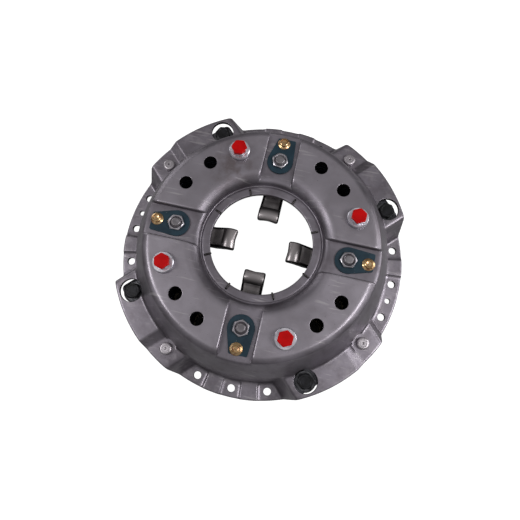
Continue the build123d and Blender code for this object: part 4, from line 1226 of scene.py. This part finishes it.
def spring_tree():
    """A coil from Low to High whose end turns touch and are ground flat."""
    t = Tree("coil_spring", [("Coil Radius", "Float"), ("Wire Radius", "Float"), ("Low", "Float"),
                             ("High", "Float"), ("Turns", "Float"), ("Closed Turns", "Float"),
                             ("Points", "Int"), ("Place", "Vector"), ("Finish", "Material")])
    line = t.node("GeometryNodeMeshLine", {"Count": t.inputs["Points"]})
    wire = t.node("GeometryNodeMeshToCurve", {"Mesh": line.outputs[0]})
    index = t.node("GeometryNodeInputIndex").outputs[0]
    last = t.math("SUBTRACT", t.inputs["Points"], 1.0)
    turn = t.math("MULTIPLY", t.math("DIVIDE", index, last), t.inputs["Turns"])
    pitch = t.math("MULTIPLY", t.inputs["Wire Radius"], 2.0)
    sunk = t.math("MULTIPLY", t.inputs["Wire Radius"], GROUND_SHARE)
    low, high = t.math("ADD", t.inputs["Low"], sunk), t.math("SUBTRACT", t.inputs["High"], sunk)
    first = t.math("ADD", low, t.math("MULTIPLY", turn, pitch))
    final = t.math("SUBTRACT", high, t.math("MULTIPLY", t.math("SUBTRACT", t.inputs["Turns"], turn), pitch))
    closed = t.math("MULTIPLY", t.inputs["Closed Turns"], pitch)
    open_turns = t.math("SUBTRACT", t.inputs["Turns"], t.math("MULTIPLY", t.inputs["Closed Turns"], 2.0))
    climb = t.math("SUBTRACT", t.math("SUBTRACT", high, low), t.math("MULTIPLY", closed, 2.0))
    active = t.math("MULTIPLY", t.math("SUBTRACT", turn, t.inputs["Closed Turns"]),
                    t.math("DIVIDE", climb, open_turns))
    middle = t.math("ADD", t.math("ADD", low, closed), active)
    z = t.math("MINIMUM", t.math("MAXIMUM", first, middle), final)
    angle = t.math("MULTIPLY", turn, 2 * math.pi)
    x = t.math("MULTIPLY", t.math("COSINE", angle), t.inputs["Coil Radius"])
    y = t.math("MULTIPLY", t.math("SINE", angle), t.inputs["Coil Radius"])
    spot = t.node("ShaderNodeCombineXYZ", {0: x, 1: y, 2: z})
    bent = t.node("GeometryNodeSetPosition", {"Geometry": wire.outputs[0], "Position": spot.outputs[0]})
    skin = t.round_wire(bent)
    where = t.node("ShaderNodeSeparateXYZ", {0: t.node("GeometryNodeInputPosition").outputs[0]})
    ground = t.math("MINIMUM", t.math("MAXIMUM", where.outputs[2], t.inputs["Low"]), t.inputs["High"])
    flat = t.node("ShaderNodeCombineXYZ", {0: where.outputs[0], 1: where.outputs[1], 2: ground})
    stood = t.node("GeometryNodeSetPosition", {"Geometry": skin.outputs[0], "Position": flat.outputs[0]})
    moved = t.node("GeometryNodeTransform", {"Geometry": stood.outputs[0], "Translation": t.inputs["Place"]})
    return t.finish(moved.outputs[0])


# %% Twelve springs
SPRING_TREE = spring_tree()
for number, angle in enumerate(SPRING_PLACES, 1):
    x, y = turned([(SPRING_CIRCLE_R, 0, 0)], angle)[0][:2] * MM
    spring = from_tree(f"coil_spring_{number:02d}", SPRING_TREE, {
        "Coil Radius": COIL_R * MM, "Wire Radius": WIRE_R * MM, "Low": SPRING_LOW_Z, "High": SPRING_TOP_Z,
        "Turns": TURNS, "Closed Turns": CLOSED_TURNS, "Points": int(TURNS * STEPS_PER_TURN) + 1,
        "Place": (x, y, 0.0), "Finish": SPRING_STEEL})
    clean(spring, 40)
    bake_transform(spring)
    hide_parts(f"pressure_spring_{number:02d}")
print("springs", len(SPRING_PLACES), "with", len(spring.data.polygons), "faces each")

# %% [markdown]
# ## Drive straps
#
# Packs of thin leaves between the rivets and the strap bolts turn the plate with the cover and still let
# it rise and fall. Each leaf is a row of narrow sections.

# %% Strap packs
STRAP_HALF, STRAP_END, STRAP_LEAVES, STRAP_CORNER = 13.0, 16.0, 4, 6.5
LEAF_GAP, LEAF_EDGE = 0.01, 0.08


def leaf_shell(low, high):
    """One leaf from the bolt to the rivet, with round corners and a section at each step."""
    soft = LEAF_EDGE
    ends = ACCESS_S - STRAP_END, RIVET_S + STRAP_END
    arc = STRAP_CORNER * (1 - np.cos(np.linspace(0.0, math.pi / 2, 7)))
    inner = np.linspace(ends[0] + STRAP_CORNER, ends[1] - STRAP_CORNER, 30)[1:-1]
    rings = []
    for s in np.concatenate((ends[0] + arc, inner, ends[1] - arc[::-1])):
        near = min(s - ends[0], ends[1] - s, STRAP_CORNER)
        half = STRAP_HALF - STRAP_CORNER + math.sqrt(STRAP_CORNER ** 2 - (STRAP_CORNER - near) ** 2)
        section = [(-half, low + soft), (-half + soft, low), (half - soft, low), (half, low + soft),
                   (half, high - soft), (half - soft, high), (-half + soft, high), (-half, high - soft)]
        rings.append([(ACCESS_R + r, s, z) for r, z in section])
    return loft(rings)


leaf_t = (STRAP_TOP_Z - STRAP_LOW_Z) / STRAP_LEAVES
leaves = [leaf_shell(STRAP_LOW_Z + i * leaf_t + LEAF_GAP, STRAP_LOW_Z + (i + 1) * leaf_t - LEAF_GAP)
          for i in range(STRAP_LEAVES)]
for number, angle in enumerate(LUG_ANGLES, 1):
    pack = make_piece(f"strap_pack_{number}", [placed(leaf, 0, angle) for leaf in leaves], STRAP_STEEL)
    holes = [placed(lathe([(radius, 0), (radius, TOP_Z)], 32), ACCESS_R, angle, s)
             for radius, s in ((STRAP_BOLT_R, ACCESS_S), (RIVET_SHANK_R, RIVET_S))]
    boolean(pack, holes, "DIFFERENCE")
    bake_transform(pack)
    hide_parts(f"drive_strap_{number}")
    print(pack.name, len(pack.data.polygons), "faces")

# %% [markdown]
# ## Wire springs
#
# Bent wires lie on the ring round the opening and pass under each lever, so that the levers don't
# rattle. A wire is a path with rounded corners and one section all along, which is what the curve nodes
# are for.

# %% Wire springs
WIRE_RADIUS, WIRE_GAP, WIRE_OVERHANG, WIRE_BEND = 1.3, 0.15, 1.2, 2.0
WIRE_UNDER_R, WIRE_UNDER_Z, WIRE_UNDER_IN = 86.0, 46.0, 4.0


def wire_tree():
    """A wire along a path of straight edges, with its corners rounded."""
    t = Tree("bent_wire", [("Path", "Geometry"), ("Wire Radius", "Float"), ("Bend Radius", "Float"),
                           ("Finish", "Material")])
    path = t.node("GeometryNodeMeshToCurve", {"Mesh": t.inputs["Path"]})
    bent = t.node("GeometryNodeFilletCurve", {"Curve": path.outputs[0], "Radius": t.inputs["Bend Radius"],
                                              "Limit Radius": True})
    bent.mode = "POLY"
    bent.inputs["Count"].default_value = 6
    skin = t.round_wire(bent)
    return t.finish(skin.outputs[0])


def wire_path(angle):
    """Corners of one wire: over the ring, down its hole, under the lever, and back."""
    over = OPENING[1] + WIRE_RADIUS + WIRE_GAP
    half = [(OPENING[0] - WIRE_OVERHANG, over), (WIRE_HOLE_R, over), (WIRE_HOLE_R, OPENING[1] - 2 * SHEET)]
    c, s = math.cos(math.radians(WIRE_ANGLE)), math.sin(math.radians(WIRE_ANGLE))
    points = [(r * c, r * s, z) for r, z in half]
    points.append((WIRE_UNDER_R, WIRE_HOLE_R * s - WIRE_UNDER_IN, WIRE_UNDER_Z))
    points += [(x, -y, z) for x, y, z in reversed(points)]
    return turned(points, angle) * MM


WIRE_TREE = wire_tree()
for number, angle in enumerate(LEVER_ANGLES, 1):
    corners = wire_path(angle)
    mesh = bpy.data.meshes.new("path")
    mesh.from_pydata(corners.tolist(), [(i, i + 1) for i in range(len(corners) - 1)], [])
    wire = from_tree(f"wire_spring_{number}", WIRE_TREE, {
        "Wire Radius": WIRE_RADIUS * MM, "Bend Radius": WIRE_BEND * MM, "Finish": WIRE_STEEL}, mesh)
    clean(wire, 40)
    show(wire, "cover", "wire_steel", f"lever_return_spring_{number}")

# %% [markdown]
# ## What stays as it is
#
# The pressure plate, the pins and the heat washers sit deep inside. Their solids already have the right
# shape, so they only get a finish.

# %% Finishes on the solids that stay
for node, material, slot in [
    ("pressure_plate", CAST_IRON, "cast_iron"), ("heat_washers", HEAT_WASHER, "heat_washer"),
    *[(f"fulcrum_pin_{n}", PIN_STEEL, "pin_steel") for n in range(1, 5)],
    *[(f"lever_pin_{n}", PIN_STEEL, "pin_steel") for n in range(1, 5)],
]:
    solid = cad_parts[node]
    solid.data.materials.clear()
    solid.data.materials.append(material)
print("finishes on the inner solids")

# %% [markdown]
# ## Studio
#
# The photo was taken between two soft lamps, left and right of the camera, in a room that is dark near
# the horizon: flats shine where they face a lamp, and steep walls go dark. Only the camera sees the white
# ground, so that it doesn't light the walls from below.

# %% Floor, lamps and camera
CAMERA_PLACE = (0.03714, -0.14392, 0.65942)
CAMERA_RIGHT = (0.97489, 0.22243, -0.01056)
CAMERA_UP = (-0.21518, 0.95320, 0.21236)
CAMERA_BACK = (0.05730, -0.20476, 0.97713)
LENS, SENSOR = 30.33, 36.0
ZENITH_GLOW, HORIZON_GLOW, GROUND_GLOW = 0.46, 0.1, 0.1
GLOW_FROM, GLOW_TO = 0.25, 0.9
FLOOR_REACH, FLOOR_DROP = 6.0, 0.0005


def seen_white(tree, glow):
    """An emission that is white for the camera and only faint for every other ray."""
    path = tree.nodes.new("ShaderNodeLightPath")
    strength = tree.nodes.new("ShaderNodeMapRange")
    if isinstance(glow, bpy.types.NodeSocket):
        tree.links.new(glow, strength.inputs["To Min"])
    else:
        strength.inputs["To Min"].default_value = glow
    tree.links.new(path.outputs["Is Camera Ray"], strength.inputs["Value"])
    return strength.outputs["Result"]


def room_glow(tree):
    """The glow of the room: dark at the horizon, brighter towards the ceiling."""
    direction = tree.nodes.new("ShaderNodeTexCoord")
    parts = tree.nodes.new("ShaderNodeSeparateXYZ")
    tree.links.new(direction.outputs["Generated"], parts.inputs[0])
    glow = tree.nodes.new("ShaderNodeMapRange")
    for key, value in (("From Min", GLOW_FROM), ("From Max", GLOW_TO), ("To Min", HORIZON_GLOW),
                       ("To Max", ZENITH_GLOW)):
        glow.inputs[key].default_value = value
    tree.links.new(parts.outputs["Z"], glow.inputs["Value"])
    return glow.outputs["Result"]


def floor_finish():
    """White for the camera, and a dull grey that sends little light back to the object."""
    finish = Finish("pale_floor", 0.0, 0.9)
    finish.shader.inputs["Specular IOR Level"].default_value = 0.0
    finish.shader.inputs["Emission Color"].default_value = (1.0, 1.0, 1.0, 1.0)
    finish.plug(seen_white(finish.tree, GROUND_GLOW), finish.shader.inputs["Emission Strength"])
    return finish.dress((0.25, 0.25, 0.25, 1.0))


floor_mesh = bpy.data.meshes.new("floor")
reach, ground = FLOOR_REACH, cad_box[0].z - FLOOR_DROP
corners = ((-reach, -reach), (reach, -reach), (reach, reach), (-reach, reach))
floor_mesh.from_pydata([(x, y, ground) for x, y in corners], [], [(0, 1, 2, 3)])
floor = linked("floor", floor_mesh)
floor_mesh.materials.append(floor_finish())


def lamp(name, azimuth, tilt, distance, size, power):
    """A round soft lamp towards an azimuth, tilted from straight above: degrees, metres and watts."""
    data = bpy.data.lights.new(name, "AREA")
    data.shape = "DISK"
    data.size = size
    data.energy = power
    lamp_object = linked(name, data)
    out, turn = math.radians(tilt), math.radians(azimuth)
    place = Vector((math.sin(out) * math.cos(turn), math.sin(out) * math.sin(turn), math.cos(out))) * distance
    lamp_object.location = place
    lamp_object.rotation_mode = "QUATERNION"
    lamp_object.rotation_quaternion = place.to_track_quat("Z", "Y")


lamp("left_soft_box", 192, 40, 1.6, 0.5, 6.0)
lamp("right_soft_box", -4, 40, 1.6, 0.5, 9.0)
lamp("low_right", 20, 76, 1.4, 0.8, 6.0)
lamp("low_left", 150, 82, 1.4, 0.8, 3.0)

world = bpy.data.worlds.new("studio")
bpy.context.scene.world = world
world.use_nodes = True
background = world.node_tree.nodes["Background"]
background.inputs["Color"].default_value = (1.0, 1.0, 1.0, 1.0)
strength = seen_white(world.node_tree, room_glow(world.node_tree))
world.node_tree.links.new(strength, background.inputs["Strength"])

camera_data = bpy.data.cameras.new("viewpoint")
camera_data.lens, camera_data.sensor_width = LENS, SENSOR
camera = linked("viewpoint", camera_data)
columns = [(*CAMERA_RIGHT, 0), (*CAMERA_UP, 0), (*CAMERA_BACK, 0), (*CAMERA_PLACE, 1)]
camera.matrix_world = Matrix(columns).transposed()
camera_data.clip_start = 0.01
bpy.context.scene.camera = camera
bpy.context.scene.view_settings.view_transform = "Standard"
print("camera at", [round(v, 3) for v in camera.matrix_world.translation])
